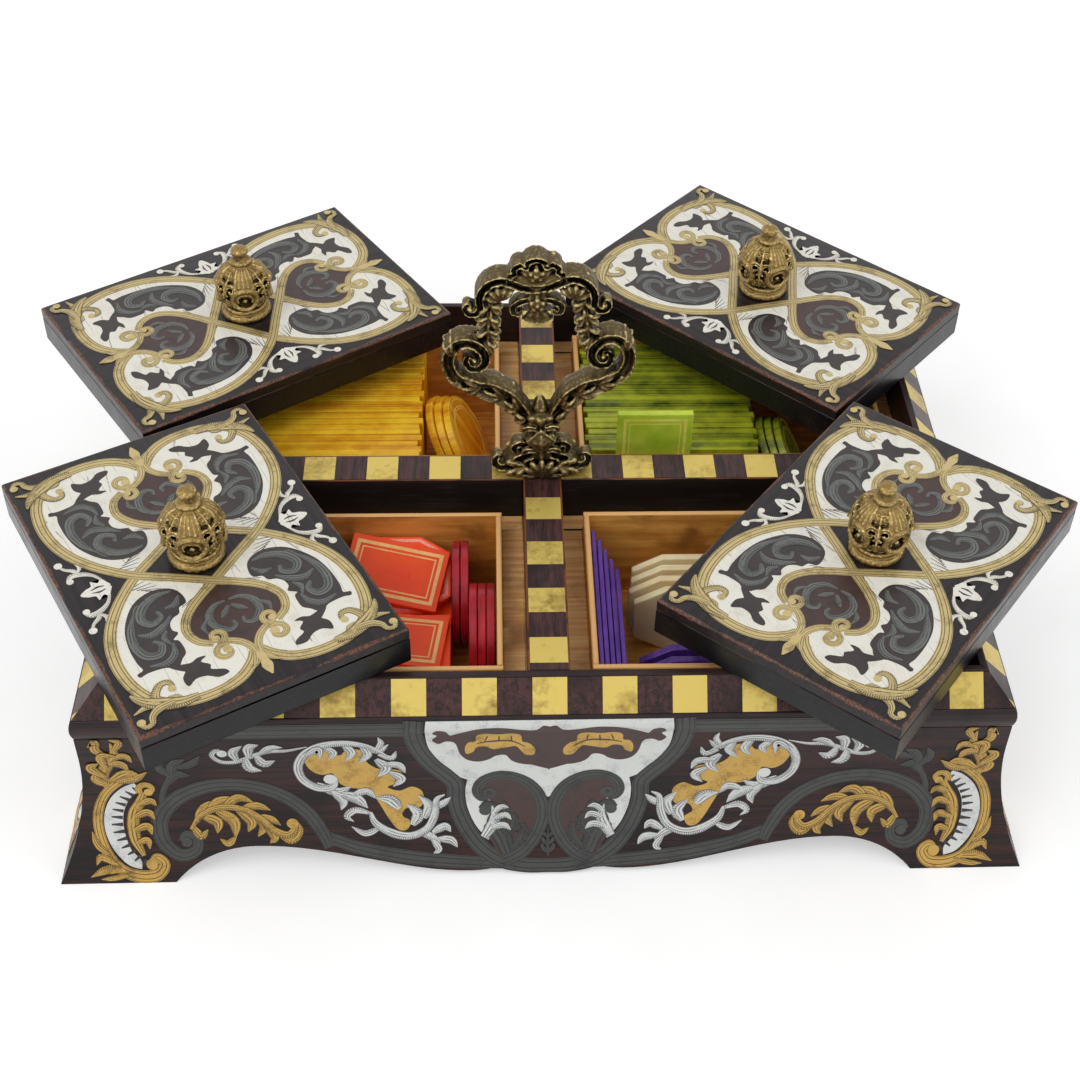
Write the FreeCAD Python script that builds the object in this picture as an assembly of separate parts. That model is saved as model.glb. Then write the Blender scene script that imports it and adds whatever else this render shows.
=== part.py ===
"""Games box in inlaid rosewood, with four lift-off lids laid on its open top and counters in its trays.

Millimetres. +X runs along the box's length, -Y is its front, +Z is up.
The origin is the middle of the box on the surface that its feet stand on.
Each piece is one STEP file in parts/, named after its node.
"""
import FreeCAD
import Part
import math
import os

from FreeCAD import Placement, Rotation, Vector

# ---- case: outline, rim and walls ----
CASE_HALF_LENGTH = 155.6
CASE_HALF_WIDTH = 112.9
CASE_HEIGHT = 80.0
RIM_SLOPE_WIDTH = 10.3
RIM_SLOPE_DROP = 9.7
RIM_BEAD_WIDTH = 2.3
RIM_NOSE_BULGE = 0.8
LEDGE_DEPTH = 18.0
DIVIDER_WIDTH = 14.0

# ---- aprons: hollow flare, feet and waved lower edge ----
APRON_INSET = 0.7
FLARE_START_HEIGHT = 52.0
FLARE_REACH = 12.4
FOOT_LENGTH = 27.6
FOOT_COVE_RUN = 28.0
ARCH_HEIGHT = 12.5
LOBE_HALF_SPAN = 26.0
LOBE_HEIGHT = 2.2
CUSP_HALF_SPAN = 15.5
CUSP_HEIGHT = 3.8
DROP_HEIGHT = 1.2

# ---- bottom, glue blocks, ledges and trays ----
BOTTOM_HEIGHT = 22.0
BOTTOM_THICKNESS = 8.0
BLOCK_LEG = 22.0
BLOCK_FOOT_GAP = 2.0
LEDGE_WIDTH = 8.0
TRAY_WALL = 2.2
TRAY_FLOOR = 2.0
TRAY_RIM_DEPTH = 8.5
TRAY_RIM_CHAMFER = 0.5

# ---- chequered banding ----
TILE_PITCH = 11.5
TILE_THICKNESS = 0.8
TILE_MARGIN = 0.7
TILE_JOINT = 0.1
CROSS_DARK_END = 9.7

# ---- lids ----
LID_END_CLEARANCE = 2.0
LID_SIDE_CLEARANCE = 1.0
LID_HEIGHT = 15.4
LID_BOARD = 4.6
LID_WALL = 5.0
LID_EDGE_BEVEL = 0.6
LID_REST_GAP = 0.3

# ---- cast knobs ----
KNOB_BASE_RADIUS = 9.7
KNOB_BODY_RADIUS = 10.6
KNOB_WAIST_RADIUS = 5.0
KNOB_COLLAR_RADIUS = 4.9
KNOB_BUTTON_RADIUS = 2.7
KNOB_HEIGHT = 30.4
KNOB_LOBE_COUNT = 6
KNOB_LOBE_DEPTH = 1.0
KNOB_FACETS = 18
KNOB_LOBE_POINTS = 4
SCREW_RADIUS = 1.8
SCREW_HEAD_RADIUS = 4.0
SCREW_HEAD_THICKNESS = 2.2
SCREW_GRIP = 9.0
SCREW_CLEARANCE = 0.15
SCREW_END_ROOM = 0.4
SCREW_FACETS = 12

# ---- cast handle and its stem ----
ROD_FACETS = 8
BALL_FACETS = 8
BALL_LATITUDES = (-65, -25, 25, 65)
NECK_FACETS = 12
HANDLE_NECK_RADIUS = 6.2
HANDLE_LEAN = -2.0
HANDLE_BASE_HALF_LENGTH = 17.0
HANDLE_BASE_HALF_WIDTH = 7.5
HANDLE_BASE_THICKNESS = 2.4
HANDLE_BOSS_HEIGHT = 17.6
HANDLE_BOSS_HALF_DIAGONAL = 5.4
HANDLE_BOSS_REACH = 8.4
VOLUTE_RADIUS = 3.6
VOLUTE_CENTRE_X = 23.0
VOLUTE_CENTRE_HEIGHT = 75.2
STEM_RADIUS = 2.5
STEM_GRIP = 7.0
STEM_CLEARANCE = 0.15
NUT_RADIUS = 5.2
NUT_HEIGHT = 4.0
NUT_THREAD_CLEARANCE = 0.05
WASHER_RADIUS = 7.0
WASHER_THICKNESS = 1.2

# ---- counters: sizes ----
COUNTER_THICKNESS = 2.8
COUNTER_GAP = 0.3
FICHE_END_CLEARANCE = 6.9
FICHE_HEIGHT = 38.0
FICHE_THICKNESS = 3.1
THIN_FICHE_THICKNESS = 1.6
ROUND_RADIUS = 19.0
ROUND_FACETS = 30
PLAQUE_LENGTH = 58.0
PLAQUE_WIDTH = 28.5
SMALL_PLAQUE_LENGTH = 36.0
SMALL_PLAQUE_WIDTH = 24.0
OCTAGON_LENGTH = 38.0
OCTAGON_WIDTH = 30.0
CUT_CORNER_RUN = 11.0
CUT_CORNER_RISE = 6.5

# ---- counters: how they lie in the trays ----
END_UNEVENNESS = 0.9
YELLOW_END_GAP = 0.9
YELLOW_ROUNDS_Y = 31.0
LEANING_ROUND_COUNT = 3
ROUNDS_LEAN = 27.0
GREEN_PLAQUE_MIDDLE = 43.3
BACK_ROUND_COUNT = 2
FRONT_ROUND_COUNT = 3
ROUNDS_STEP = 22.0
RED_LAYER_COUNT = 5
RED_UPPER_LAYER_COUNT = 2
RED_SLOPE = 24.0
RED_UPPER_TURN = -13.0
RED_LOWER_TURN = -8.0
THIN_FICHE_COUNT = 5
THIN_FICHE_FAN = 0.9
THIN_FICHE_SHORTENING = 5.0
BONE_OCTAGON_COUNT = 4
BONE_START_X = 32.0
BONE_START_Y = -28.5
BONE_SPACING = 5.5
PURPLE_OCTAGON_COUNT = 3

# ---- sizes worked out from those above ----
WALL = RIM_SLOPE_WIDTH + RIM_BEAD_WIDTH
INNER_HALF_LENGTH = CASE_HALF_LENGTH - WALL
INNER_HALF_WIDTH = CASE_HALF_WIDTH - WALL
LEDGE_HEIGHT = CASE_HEIGHT - LEDGE_DEPTH
HALF_DIVIDER = DIVIDER_WIDTH / 2
BOTTOM_TOP = BOTTOM_HEIGHT + BOTTOM_THICKNESS
TRAY_FLOOR_TOP = BOTTOM_TOP + TRAY_FLOOR
TRAY_RIM_HEIGHT = CASE_HEIGHT - TRAY_RIM_DEPTH
WELL_LENGTH = INNER_HALF_LENGTH - HALF_DIVIDER
WELL_WIDTH = INNER_HALF_WIDTH - HALF_DIVIDER
LID_LENGTH = WELL_LENGTH - 2 * LID_END_CLEARANCE
LID_WIDTH = WELL_WIDTH - 2 * LID_SIDE_CLEARANCE
LID_BASE = CASE_HEIGHT + LID_REST_GAP
TRAY_NEAR = HALF_DIVIDER + LEDGE_WIDTH + TRAY_WALL
TRAY_FAR_X = INNER_HALF_LENGTH - LEDGE_WIDTH - TRAY_WALL
TRAY_FAR_Y = INNER_HALF_WIDTH - LEDGE_WIDTH - TRAY_WALL
STANDING = TRAY_FLOOR_TOP + COUNTER_GAP
FICHE_LENGTH = TRAY_FAR_Y - TRAY_NEAR - FICHE_END_CLEARANCE

# Each side of the box: its turn about +Z from the front, its half length and its distance from the middle.
SIDES = {
    "front": (0, CASE_HALF_LENGTH, CASE_HALF_WIDTH),
    "right": (90, CASE_HALF_WIDTH, CASE_HALF_LENGTH),
    "back": (180, CASE_HALF_LENGTH, CASE_HALF_WIDTH),
    "left": (270, CASE_HALF_WIDTH, CASE_HALF_LENGTH),
}

# Each quarter of the box: the signs of its X and Y.
QUARTERS = {
    "front_left": (-1, -1),
    "front_right": (1, -1),
    "back_left": (-1, 1),
    "back_right": (1, 1),
}

# Where each lid was laid down: how near the middle of the box it comes along X and along Y, and its turn about +Z.
LID_PLACES = {
    "front_left": (-45.3, 19.4, -60.9),
    "front_right": (35.6, 19.2, 51.5),
    "back_left": (-34.3, 2.2, 33.5),
    "back_right": (12.4, 13.2, -42.1),
}

FLATNESS = 1e-6
X_AXIS = Vector(1, 0, 0)
Y_AXIS = Vector(0, 1, 0)
Z_AXIS = Vector(0, 0, 1)


# ---------------------------------------------------------------- general shapes

def block(x_range, y_range, z_range):
    """A box from its ranges along the three axes."""
    low = Vector(x_range[0], y_range[0], z_range[0])
    return Part.makeBox(x_range[1] - x_range[0], y_range[1] - y_range[0], z_range[1] - z_range[0], low)


def bar(section, x_start, x_end):
    """A straight bar along X with a polygon of (y, z) points as its section."""
    points = [Vector(x_start, y, z) for y, z in section]
    face = polygon_face(points)
    return face.extrude(Vector(x_end - x_start, 0, 0))


def turned(shape, degrees):
    """The shape turned about the Z axis through the origin."""
    copy = shape.copy()
    copy.rotate(Vector(0, 0, 0), Vector(0, 0, 1), degrees)
    return copy


def placed(shape, x, y, z, degrees=0):
    """The shape turned about its own Z axis and moved to a place."""
    copy = shape.copy()
    copy.Placement = Placement(Vector(x, y, z), Rotation(Vector(0, 0, 1), degrees)).multiply(copy.Placement)
    return copy


def one_solid(shapes):
    """The union of shapes that overlap, as one solid."""
    joined = shapes[0].fuse(shapes[1:]).removeSplitter()
    return joined.Solids[0] if len(joined.Solids) == 1 else joined


def ring(centre, across, along, radius, facets):
    """The points of an even-sided ring round a centre, in the plane of two unit vectors."""
    points = []
    for step in range(facets):
        angle = 2 * math.pi * (step + 0.5) / facets
        points.append(centre + across * (radius * math.cos(angle)) + along * (radius * math.sin(angle)))
    return points


def polygon_face(points):
    """A flat face inside the closed line through the points."""
    return Part.Face(Part.makePolygon(points + points[:1]))


def facet_loft(rings):
    """A solid through rings of equally many points, skinned with flat facets and closed by its end rings."""
    faces = [polygon_face(rings[0]), polygon_face(rings[-1])]
    for lower, upper in zip(rings, rings[1:]):
        for index in range(len(lower)):
            following = (index + 1) % len(lower)
            corners = [lower[index], lower[following], upper[following], upper[index]]
            normal = (corners[1] - corners[0]).cross(corners[2] - corners[0])
            if abs(normal.dot(corners[3] - corners[0])) < FLATNESS:
                faces.append(polygon_face(corners))
            else:
                faces.append(polygon_face(corners[:3]))
                faces.append(polygon_face([corners[0], corners[2], corners[3]]))
    shell = Part.Shell(faces)
    shell.sewShape()
    solid = Part.Solid(shell)
    if solid.Volume < 0:
        solid.reverse()
    return solid


def turned_form(profile, facets):
    """A turned piece cut in flats: rings about Z at (radius, z) steps."""
    return facet_loft([ring(Vector(0, 0, z), X_AXIS, Y_AXIS, radius, facets) for radius, z in profile])


def ball(radius, centre):
    """A small cast ball cut in flats, its poles along Z."""
    rings = []
    for latitude in BALL_LATITUDES:
        height = Z_AXIS * (radius * math.sin(math.radians(latitude)))
        rings.append(ring(centre + height, X_AXIS, Y_AXIS, radius * math.cos(math.radians(latitude)), BALL_FACETS))
    return facet_loft(rings)


def scroll(points, radii, side=Vector(0, 1, 0)):
    """A tapering cast rod through points of one plane, whose normal is side, with a radius at each point."""
    centre_line = Part.BSplineCurve()
    centre_line.interpolate(points)
    rings = []
    for point, radius in zip(points, radii):
        tangent = centre_line.tangent(centre_line.parameter(point))[0]
        rings.append(ring(point, tangent.cross(side), side, radius, ROD_FACETS))
    return facet_loft(rings)


def mitre_wedge(half_length, reach, height):
    """The space that a front board may fill between its two mitre planes."""
    spare = WALL + FLARE_REACH
    corners = [
        Vector(-half_length + spare, -reach + spare, -1),
        Vector(half_length - spare, -reach + spare, -1),
        Vector(half_length + spare, -reach - spare, -1),
        Vector(-half_length - spare, -reach - spare, -1),
    ]
    face = polygon_face(corners)
    return face.extrude(Vector(0, 0, height + 2))


# ---------------------------------------------------------------- case

def apron(half_length, reach):
    """One flared side of the case, seen as the front: upright above, hollow below, mitred at its ends."""
    face_y = -(reach - APRON_INSET)
    inner_y = -(reach - WALL)
    radius = (FLARE_START_HEIGHT ** 2 + FLARE_REACH ** 2) / (2 * FLARE_REACH)
    middle_drop = FLARE_START_HEIGHT / 2
    middle_out = radius - math.sqrt(radius ** 2 - middle_drop ** 2)
    x_end = half_length + WALL + FLARE_REACH
    hollow_top = Vector(-x_end, face_y, FLARE_START_HEIGHT)
    hollow_middle = Vector(-x_end, face_y - middle_out, FLARE_START_HEIGHT - middle_drop)
    foot_front = Vector(-x_end, face_y - FLARE_REACH, 0)
    foot_back = Vector(-x_end, inner_y, 0)
    back_top = Vector(-x_end, inner_y, LEDGE_HEIGHT)
    face_top = Vector(-x_end, face_y, LEDGE_HEIGHT)
    edges = [
        Part.Arc(hollow_top, hollow_middle, foot_front).toShape(),
        Part.makeLine(foot_front, foot_back),
        Part.makeLine(foot_back, back_top),
        Part.makeLine(back_top, face_top),
        Part.makeLine(face_top, hollow_top),
    ]
    board = Part.Face(Part.Wire(edges)).extrude(Vector(2 * x_end, 0, 0))
    board = board.common(mitre_wedge(half_length, reach, CASE_HEIGHT))
    return board.cut(arch_cutter(half_length, reach))


def arch_cutter(half_length, reach):
    """What is sawn away under an apron: coves beside the feet, long waves, two cusps and a middle drop."""
    foot_end = half_length - FOOT_LENGTH
    crest = foot_end - FOOT_COVE_RUN
    cove_radius = (FOOT_COVE_RUN ** 2 + ARCH_HEIGHT ** 2) / (2 * ARCH_HEIGHT)
    cove_middle = FOOT_COVE_RUN / 2
    cove_middle_height = ARCH_HEIGHT - cove_radius + math.sqrt(cove_radius ** 2 - cove_middle ** 2)

    def at(x, z):
        return Vector(x, 0, z)

    def wave(side):
        points = []
        for step in range(5):
            share = step / 4
            rise = (1 - math.cos(math.pi * share)) / 2
            x = LOBE_HALF_SPAN + share * (crest - LOBE_HALF_SPAN)
            points.append(at(side * x, LOBE_HEIGHT + rise * (ARCH_HEIGHT - LOBE_HEIGHT)))
        curve = Part.BSplineCurve()
        curve.interpolate(points)
        return curve.toShape()

    def lobe(side):
        middle = (LOBE_HALF_SPAN + CUSP_HALF_SPAN) / 2
        sag = LOBE_HEIGHT + (CUSP_HEIGHT - LOBE_HEIGHT) / 4
        return Part.Arc(
            at(side * LOBE_HALF_SPAN, LOBE_HEIGHT), at(side * middle, sag), at(side * CUSP_HALF_SPAN, CUSP_HEIGHT)
        ).toShape()

    def cove(side):
        return Part.Arc(
            at(side * crest, ARCH_HEIGHT),
            at(side * (crest + cove_middle), cove_middle_height),
            at(side * foot_end, 0),
        ).toShape()

    edges = [
        Part.Arc(at(-CUSP_HALF_SPAN, CUSP_HEIGHT), at(0, DROP_HEIGHT), at(CUSP_HALF_SPAN, CUSP_HEIGHT)).toShape(),
        Part.makeLine(at(-foot_end, 0), at(-foot_end, -1)),
        Part.makeLine(at(-foot_end, -1), at(foot_end, -1)),
        Part.makeLine(at(foot_end, -1), at(foot_end, 0)),
    ]
    for side in (-1, 1):
        edges += [lobe(side), wave(side), cove(side)]
    outline = Part.Wire(Part.__sortEdges__(edges))
    depth = WALL + FLARE_REACH + 2
    cutter = Part.Face(outline).extrude(Vector(0, -2 * depth, 0))
    cutter.translate(Vector(0, -reach + WALL + 1, 0))
    return cutter


def slope_frame(reach):
    """The start of the rim's slope, its downhill direction, its outward normal and its length, as (y, z)."""
    start = (-(reach - RIM_SLOPE_WIDTH), CASE_HEIGHT)
    run = RIM_SLOPE_WIDTH - RIM_NOSE_BULGE
    length = math.hypot(run, RIM_SLOPE_DROP)
    down = (-run / length, -RIM_SLOPE_DROP / length)
    normal = (down[1], -down[0])
    return start, down, normal, length


def slope_tile_section(reach):
    """The section of the chequered band let into the rim's slope."""
    start, down, normal, length = slope_frame(reach)
    corners = []
    for along, depth in (
        (TILE_MARGIN, 0),
        (length - TILE_MARGIN, 0),
        (length - TILE_MARGIN, TILE_THICKNESS),
        (TILE_MARGIN, TILE_THICKNESS),
    ):
        y = start[0] + down[0] * along - normal[0] * depth
        z = start[1] + down[1] * along - normal[1] * depth
        corners.append((y, z))
    return corners


def rim(half_length, reach):
    """One mitred length of the rim: flat bead, sloping face with a groove for the band, rounded nose."""
    inner_y = -(reach - WALL)
    slope_start = -(reach - RIM_SLOPE_WIDTH)
    slope_end = -(reach - RIM_NOSE_BULGE)
    nose_top = CASE_HEIGHT - RIM_SLOPE_DROP
    x_end = half_length + WALL

    def at(y, z):
        return Vector(-x_end, y, z)

    nose = Part.Arc(
        at(slope_end, nose_top), at(-reach, (nose_top + LEDGE_HEIGHT) / 2), at(slope_end, LEDGE_HEIGHT)
    )
    edges = [
        Part.makeLine(at(inner_y, LEDGE_HEIGHT), at(inner_y, CASE_HEIGHT)),
        Part.makeLine(at(inner_y, CASE_HEIGHT), at(slope_start, CASE_HEIGHT)),
        Part.makeLine(at(slope_start, CASE_HEIGHT), at(slope_end, nose_top)),
        nose.toShape(),
        Part.makeLine(at(slope_end, LEDGE_HEIGHT), at(inner_y, LEDGE_HEIGHT)),
    ]
    length = Part.Face(Part.Wire(edges)).extrude(Vector(2 * x_end, 0, 0))
    groove = bar(slope_tile_section(reach), -x_end, x_end)
    return length.cut(groove).common(mitre_wedge(half_length, reach, CASE_HEIGHT))


def rim_tiles(half_length, reach, brass):
    """The brass or the dark squares of one side's band, cut to the mitres at its ends."""
    wedge = mitre_wedge(half_length, reach, CASE_HEIGHT)
    section = slope_tile_section(reach)
    count = math.ceil(half_length / TILE_PITCH)
    tiles = []
    for index in range(-count, count + 1):
        if (index % 2 == 0) != brass:
            continue
        middle = index * TILE_PITCH
        half = (TILE_PITCH - TILE_JOINT) / 2
        if abs(middle) - half >= half_length:
            continue
        tile = bar(section, middle - half, middle + half)
        if abs(middle) + half > half_length - RIM_SLOPE_WIDTH:
            tile = tile.common(wedge)
        tiles += tile.Solids
    return tiles


def divider_section():
    """The section of a divider, with the groove for its squares."""
    edge = HALF_DIVIDER - TILE_MARGIN
    floor = CASE_HEIGHT - TILE_THICKNESS
    return [
        (-HALF_DIVIDER, BOTTOM_TOP),
        (HALF_DIVIDER, BOTTOM_TOP),
        (HALF_DIVIDER, CASE_HEIGHT),
        (edge, CASE_HEIGHT),
        (edge, floor),
        (-edge, floor),
        (-edge, CASE_HEIGHT),
        (-HALF_DIVIDER, CASE_HEIGHT),
    ]


def stem_hole(z_low, z_high):
    """The clearance hole for the handle's stem."""
    return Part.makeCylinder(STEM_RADIUS + STEM_CLEARANCE, z_high - z_low, Vector(0, 0, z_low))


def long_divider():
    """The divider along the box, halved from above at the crossing."""
    middle = (BOTTOM_TOP + CASE_HEIGHT) / 2
    board = bar(divider_section(), -INNER_HALF_LENGTH, INNER_HALF_LENGTH)
    span = (-HALF_DIVIDER, HALF_DIVIDER)
    board = board.cut(block(span, (-DIVIDER_WIDTH, DIVIDER_WIDTH), (middle, CASE_HEIGHT + 1)))
    return board.cut(stem_hole(BOTTOM_TOP - 1, middle + 1))


def cross_divider():
    """The divider from front to back, halved from below at the crossing."""
    middle = (BOTTOM_TOP + CASE_HEIGHT) / 2
    board = turned(bar(divider_section(), -INNER_HALF_WIDTH, INNER_HALF_WIDTH), 90)
    span = (-HALF_DIVIDER, HALF_DIVIDER)
    board = board.cut(block((-DIVIDER_WIDTH, DIVIDER_WIDTH), span, (BOTTOM_TOP - 1, middle)))
    return board.cut(stem_hole(middle - 1, CASE_HEIGHT + 1))


def divider_tile(x_start, x_end):
    """One square of a divider's band, lying along X."""
    edge = HALF_DIVIDER - TILE_MARGIN
    half_joint = TILE_JOINT / 2
    return block(
        (x_start + half_joint, x_end - half_joint), (-edge, edge), (CASE_HEIGHT - TILE_THICKNESS, CASE_HEIGHT)
    )


def band(first, last, brass):
    """The brass or the dark squares from first to last along X, brass first."""
    tiles = []
    start = first
    index = 0
    while last - start > TILE_JOINT * 2:
        end = min(start + TILE_PITCH, last)
        if (index % 2 == 0) == brass:
            tiles.append(divider_tile(start, end))
        start = end
        index += 1
    return tiles


def divider_tiles(brass):
    """The squares of both dividers, with the dark bar through the crossing."""
    long_half = band(HALF_DIVIDER, INNER_HALF_LENGTH, brass)
    cross_start = HALF_DIVIDER + CROSS_DARK_END
    cross_half = band(cross_start, INNER_HALF_WIDTH, brass)
    if not brass:
        cross_half.append(divider_tile(HALF_DIVIDER, cross_start))
    tiles = [turned(tile, angle) for tile in long_half for angle in (0, 180)]
    tiles += [turned(tile, angle) for tile in cross_half for angle in (90, 270)]
    if not brass:
        centre = turned(divider_tile(-HALF_DIVIDER, HALF_DIVIDER), 90)
        tiles.append(centre.cut(stem_hole(BOTTOM_TOP, CASE_HEIGHT + 1)))
    return tiles


def bottom_board():
    """The board that closes the case from below, with the stem's hole."""
    board = block(
        (-INNER_HALF_LENGTH, INNER_HALF_LENGTH), (-INNER_HALF_WIDTH, INNER_HALF_WIDTH), (BOTTOM_HEIGHT, BOTTOM_TOP)
    )
    return board.cut(stem_hole(BOTTOM_HEIGHT - 1, BOTTOM_TOP + 1))


def glue_block(sign_x, sign_y):
    """The three-cornered block glued behind a foot, under the bottom board."""
    x = sign_x * INNER_HALF_LENGTH
    y = sign_y * INNER_HALF_WIDTH
    corners = [
        Vector(x, y, BLOCK_FOOT_GAP),
        Vector(x - sign_x * BLOCK_LEG, y, BLOCK_FOOT_GAP),
        Vector(x, y - sign_y * BLOCK_LEG, BLOCK_FOOT_GAP),
    ]
    face = polygon_face(corners)
    return face.extrude(Vector(0, 0, BOTTOM_HEIGHT - BLOCK_FOOT_GAP))


def ring_boards(x_range, y_range, z_range, thickness):
    """Four boards round a rectangle: two long ones, and two short ones between them."""
    x_low, x_high = x_range
    y_low, y_high = y_range
    inner_x = (x_low + thickness, x_high - thickness)
    return [
        block(x_range, (y_low, y_low + thickness), z_range),
        block(x_range, (y_high - thickness, y_high), z_range),
        block((inner_x[0] - thickness, inner_x[0]), (y_low + thickness, y_high - thickness), z_range),
        block((inner_x[1], inner_x[1] + thickness), (y_low + thickness, y_high - thickness), z_range),
    ]


def quarter_range(sign, near, far):
    """The range from near to far on the side of the middle that the sign gives."""
    return (near, far) if sign > 0 else (-far, -near)


def ledge(sign_x, sign_y):
    """The packing boards round one well: their top is the ledge that the closed lid stands on."""
    x_range = quarter_range(sign_x, HALF_DIVIDER, INNER_HALF_LENGTH)
    y_range = quarter_range(sign_y, HALF_DIVIDER, INNER_HALF_WIDTH)
    return Part.makeCompound(ring_boards(x_range, y_range, (BOTTOM_TOP, LEDGE_HEIGHT), LEDGE_WIDTH))


def tray(sign_x, sign_y):
    """One thin tray: a floor and four walls that stand proud of the ledge, eased along the top."""
    x_range = quarter_range(sign_x, HALF_DIVIDER + LEDGE_WIDTH, INNER_HALF_LENGTH - LEDGE_WIDTH)
    y_range = quarter_range(sign_y, HALF_DIVIDER + LEDGE_WIDTH, INNER_HALF_WIDTH - LEDGE_WIDTH)
    floor = block(x_range, y_range, (BOTTOM_TOP, TRAY_FLOOR_TOP))
    walls = []
    for wall in ring_boards(x_range, y_range, (TRAY_FLOOR_TOP, TRAY_RIM_HEIGHT), TRAY_WALL):
        size = wall.BoundBox
        along_x = size.XLength > size.YLength
        top_edges = []
        for edge in wall.Edges:
            at_top = edge.BoundBox.ZMin > TRAY_RIM_HEIGHT - 0.01
            is_long = edge.Length > TRAY_WALL * 2
            if at_top and is_long and (edge.BoundBox.XLength > edge.BoundBox.YLength) == along_x:
                top_edges.append(edge)
        walls.append(wall.makeChamfer(TRAY_RIM_CHAMFER, top_edges))
    return Part.makeCompound([floor] + walls)


# ---------------------------------------------------------------- lids and knobs

def lid_place(quarter):
    """The middle of a laid lid's underside and its turn, from how near the middle of the box it comes."""
    sign_x, sign_y = QUARTERS[quarter]
    near_x, near_y, angle = LID_PLACES[quarter]
    sine = abs(math.sin(math.radians(angle)))
    cosine = abs(math.cos(math.radians(angle)))
    half_x = (LID_LENGTH * cosine + LID_WIDTH * sine) / 2
    half_y = (LID_LENGTH * sine + LID_WIDTH * cosine) / 2
    return near_x + sign_x * half_x, near_y + sign_y * half_y, angle


def lid_board():
    """The lid's top board, its upper edge eased, bored for the screw."""
    board = block((-LID_LENGTH / 2, LID_LENGTH / 2), (-LID_WIDTH / 2, LID_WIDTH / 2), (LID_HEIGHT - LID_BOARD, LID_HEIGHT))
    upper = [edge for edge in board.Edges if edge.BoundBox.ZMin > LID_HEIGHT - 0.01]
    board = board.makeChamfer(LID_EDGE_BEVEL, upper)
    return board.cut(Part.makeCylinder(SCREW_RADIUS + SCREW_CLEARANCE, LID_HEIGHT + 1))


def lid_frame():
    """The four mitred boards under the lid's top, which drop over the tray's proud walls."""
    boards = []
    height = LID_HEIGHT - LID_BOARD
    for angle, half_length, reach in (
        (0, LID_LENGTH / 2, LID_WIDTH / 2),
        (90, LID_WIDTH / 2, LID_LENGTH / 2),
        (180, LID_LENGTH / 2, LID_WIDTH / 2),
        (270, LID_WIDTH / 2, LID_LENGTH / 2),
    ):
        corners = [
            Vector(-half_length, -reach, 0),
            Vector(half_length, -reach, 0),
            Vector(half_length - LID_WALL, -reach + LID_WALL, 0),
            Vector(-half_length + LID_WALL, -reach + LID_WALL, 0),
        ]
        face = polygon_face(corners)
        boards.append(turned(face.extrude(Vector(0, 0, height)), angle))
    return Part.makeCompound(boards)


def lobed_ring(radius, z):
    """The points of a ring about Z that swells once for each lobe."""
    points = []
    steps = KNOB_LOBE_COUNT * KNOB_LOBE_POINTS
    for step in range(steps):
        angle = 2 * math.pi * step / steps
        swell = radius + KNOB_LOBE_DEPTH * (radius / KNOB_BODY_RADIUS) * math.cos(KNOB_LOBE_COUNT * angle)
        points.append(Vector(swell * math.cos(angle), swell * math.sin(angle), z))
    return points


def knob():
    """A cast knob on the plane z = 0: flared foot, lobed vase, collar and button, bored for the screw."""
    foot = turned_form([
        (KNOB_BASE_RADIUS - 0.6, 0),
        (KNOB_BASE_RADIUS, 0.7),
        (KNOB_BASE_RADIUS, 1.6),
        (KNOB_BASE_RADIUS - 1.2, 2.8),
        (KNOB_BASE_RADIUS - 3.2, 4.0),
        (KNOB_WAIST_RADIUS + 0.6, 5.6),
        (KNOB_WAIST_RADIUS, 7.2),
        (KNOB_WAIST_RADIUS, 10.6),
    ], KNOB_FACETS)
    shoulder = KNOB_HEIGHT - 7.5
    vase = facet_loft([
        lobed_ring(KNOB_WAIST_RADIUS + 0.2, 6.6),
        lobed_ring(KNOB_BODY_RADIUS - 2.4, 9.6),
        lobed_ring(KNOB_BODY_RADIUS, 14.4),
        lobed_ring(KNOB_BODY_RADIUS - 1.6, 18.8),
        lobed_ring(KNOB_COLLAR_RADIUS - 0.4, shoulder),
    ])
    collar = turned_form([
        (KNOB_COLLAR_RADIUS - 1.6, shoulder - 2),
        (KNOB_COLLAR_RADIUS - 1.6, shoulder + 0.4),
        (KNOB_COLLAR_RADIUS, shoulder + 1.0),
        (KNOB_COLLAR_RADIUS, shoulder + 1.9),
        (KNOB_BUTTON_RADIUS - 0.8, shoulder + 2.6),
    ], BALL_FACETS)
    button = ball(KNOB_BUTTON_RADIUS, Vector(0, 0, KNOB_HEIGHT - KNOB_BUTTON_RADIUS))
    solid = one_solid([foot, vase, collar, button])
    thread_radius = SCREW_RADIUS + SCREW_CLEARANCE / 3
    bore = turned_form([(thread_radius, -1), (thread_radius, SCREW_GRIP + SCREW_END_ROOM)], SCREW_FACETS)
    return solid.cut(bore)


def knob_screw():
    """The screw that holds the knob from inside the lid: its head bears on the board's underside."""
    board_under = LID_HEIGHT - LID_BOARD
    head_under = board_under - SCREW_HEAD_THICKNESS
    return turned_form([
        (SCREW_HEAD_RADIUS * 0.7, head_under),
        (SCREW_HEAD_RADIUS, head_under + SCREW_HEAD_THICKNESS / 2),
        (SCREW_HEAD_RADIUS, board_under),
        (SCREW_RADIUS, board_under),
        (SCREW_RADIUS, board_under + LID_BOARD + SCREW_GRIP),
    ], SCREW_FACETS)


# ---------------------------------------------------------------- handle

def mirrored_rod(points, radii):
    """A rod and its mirror image across the plane x = 0."""
    rod = scroll(points, radii)
    return [rod, rod.mirror(Vector(0, 0, 0), Vector(1, 0, 0))]


def upright(*places):
    """Points in the handle's own plane from (x, z) pairs."""
    return [Vector(x, 0, z) for x, z in places]


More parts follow.
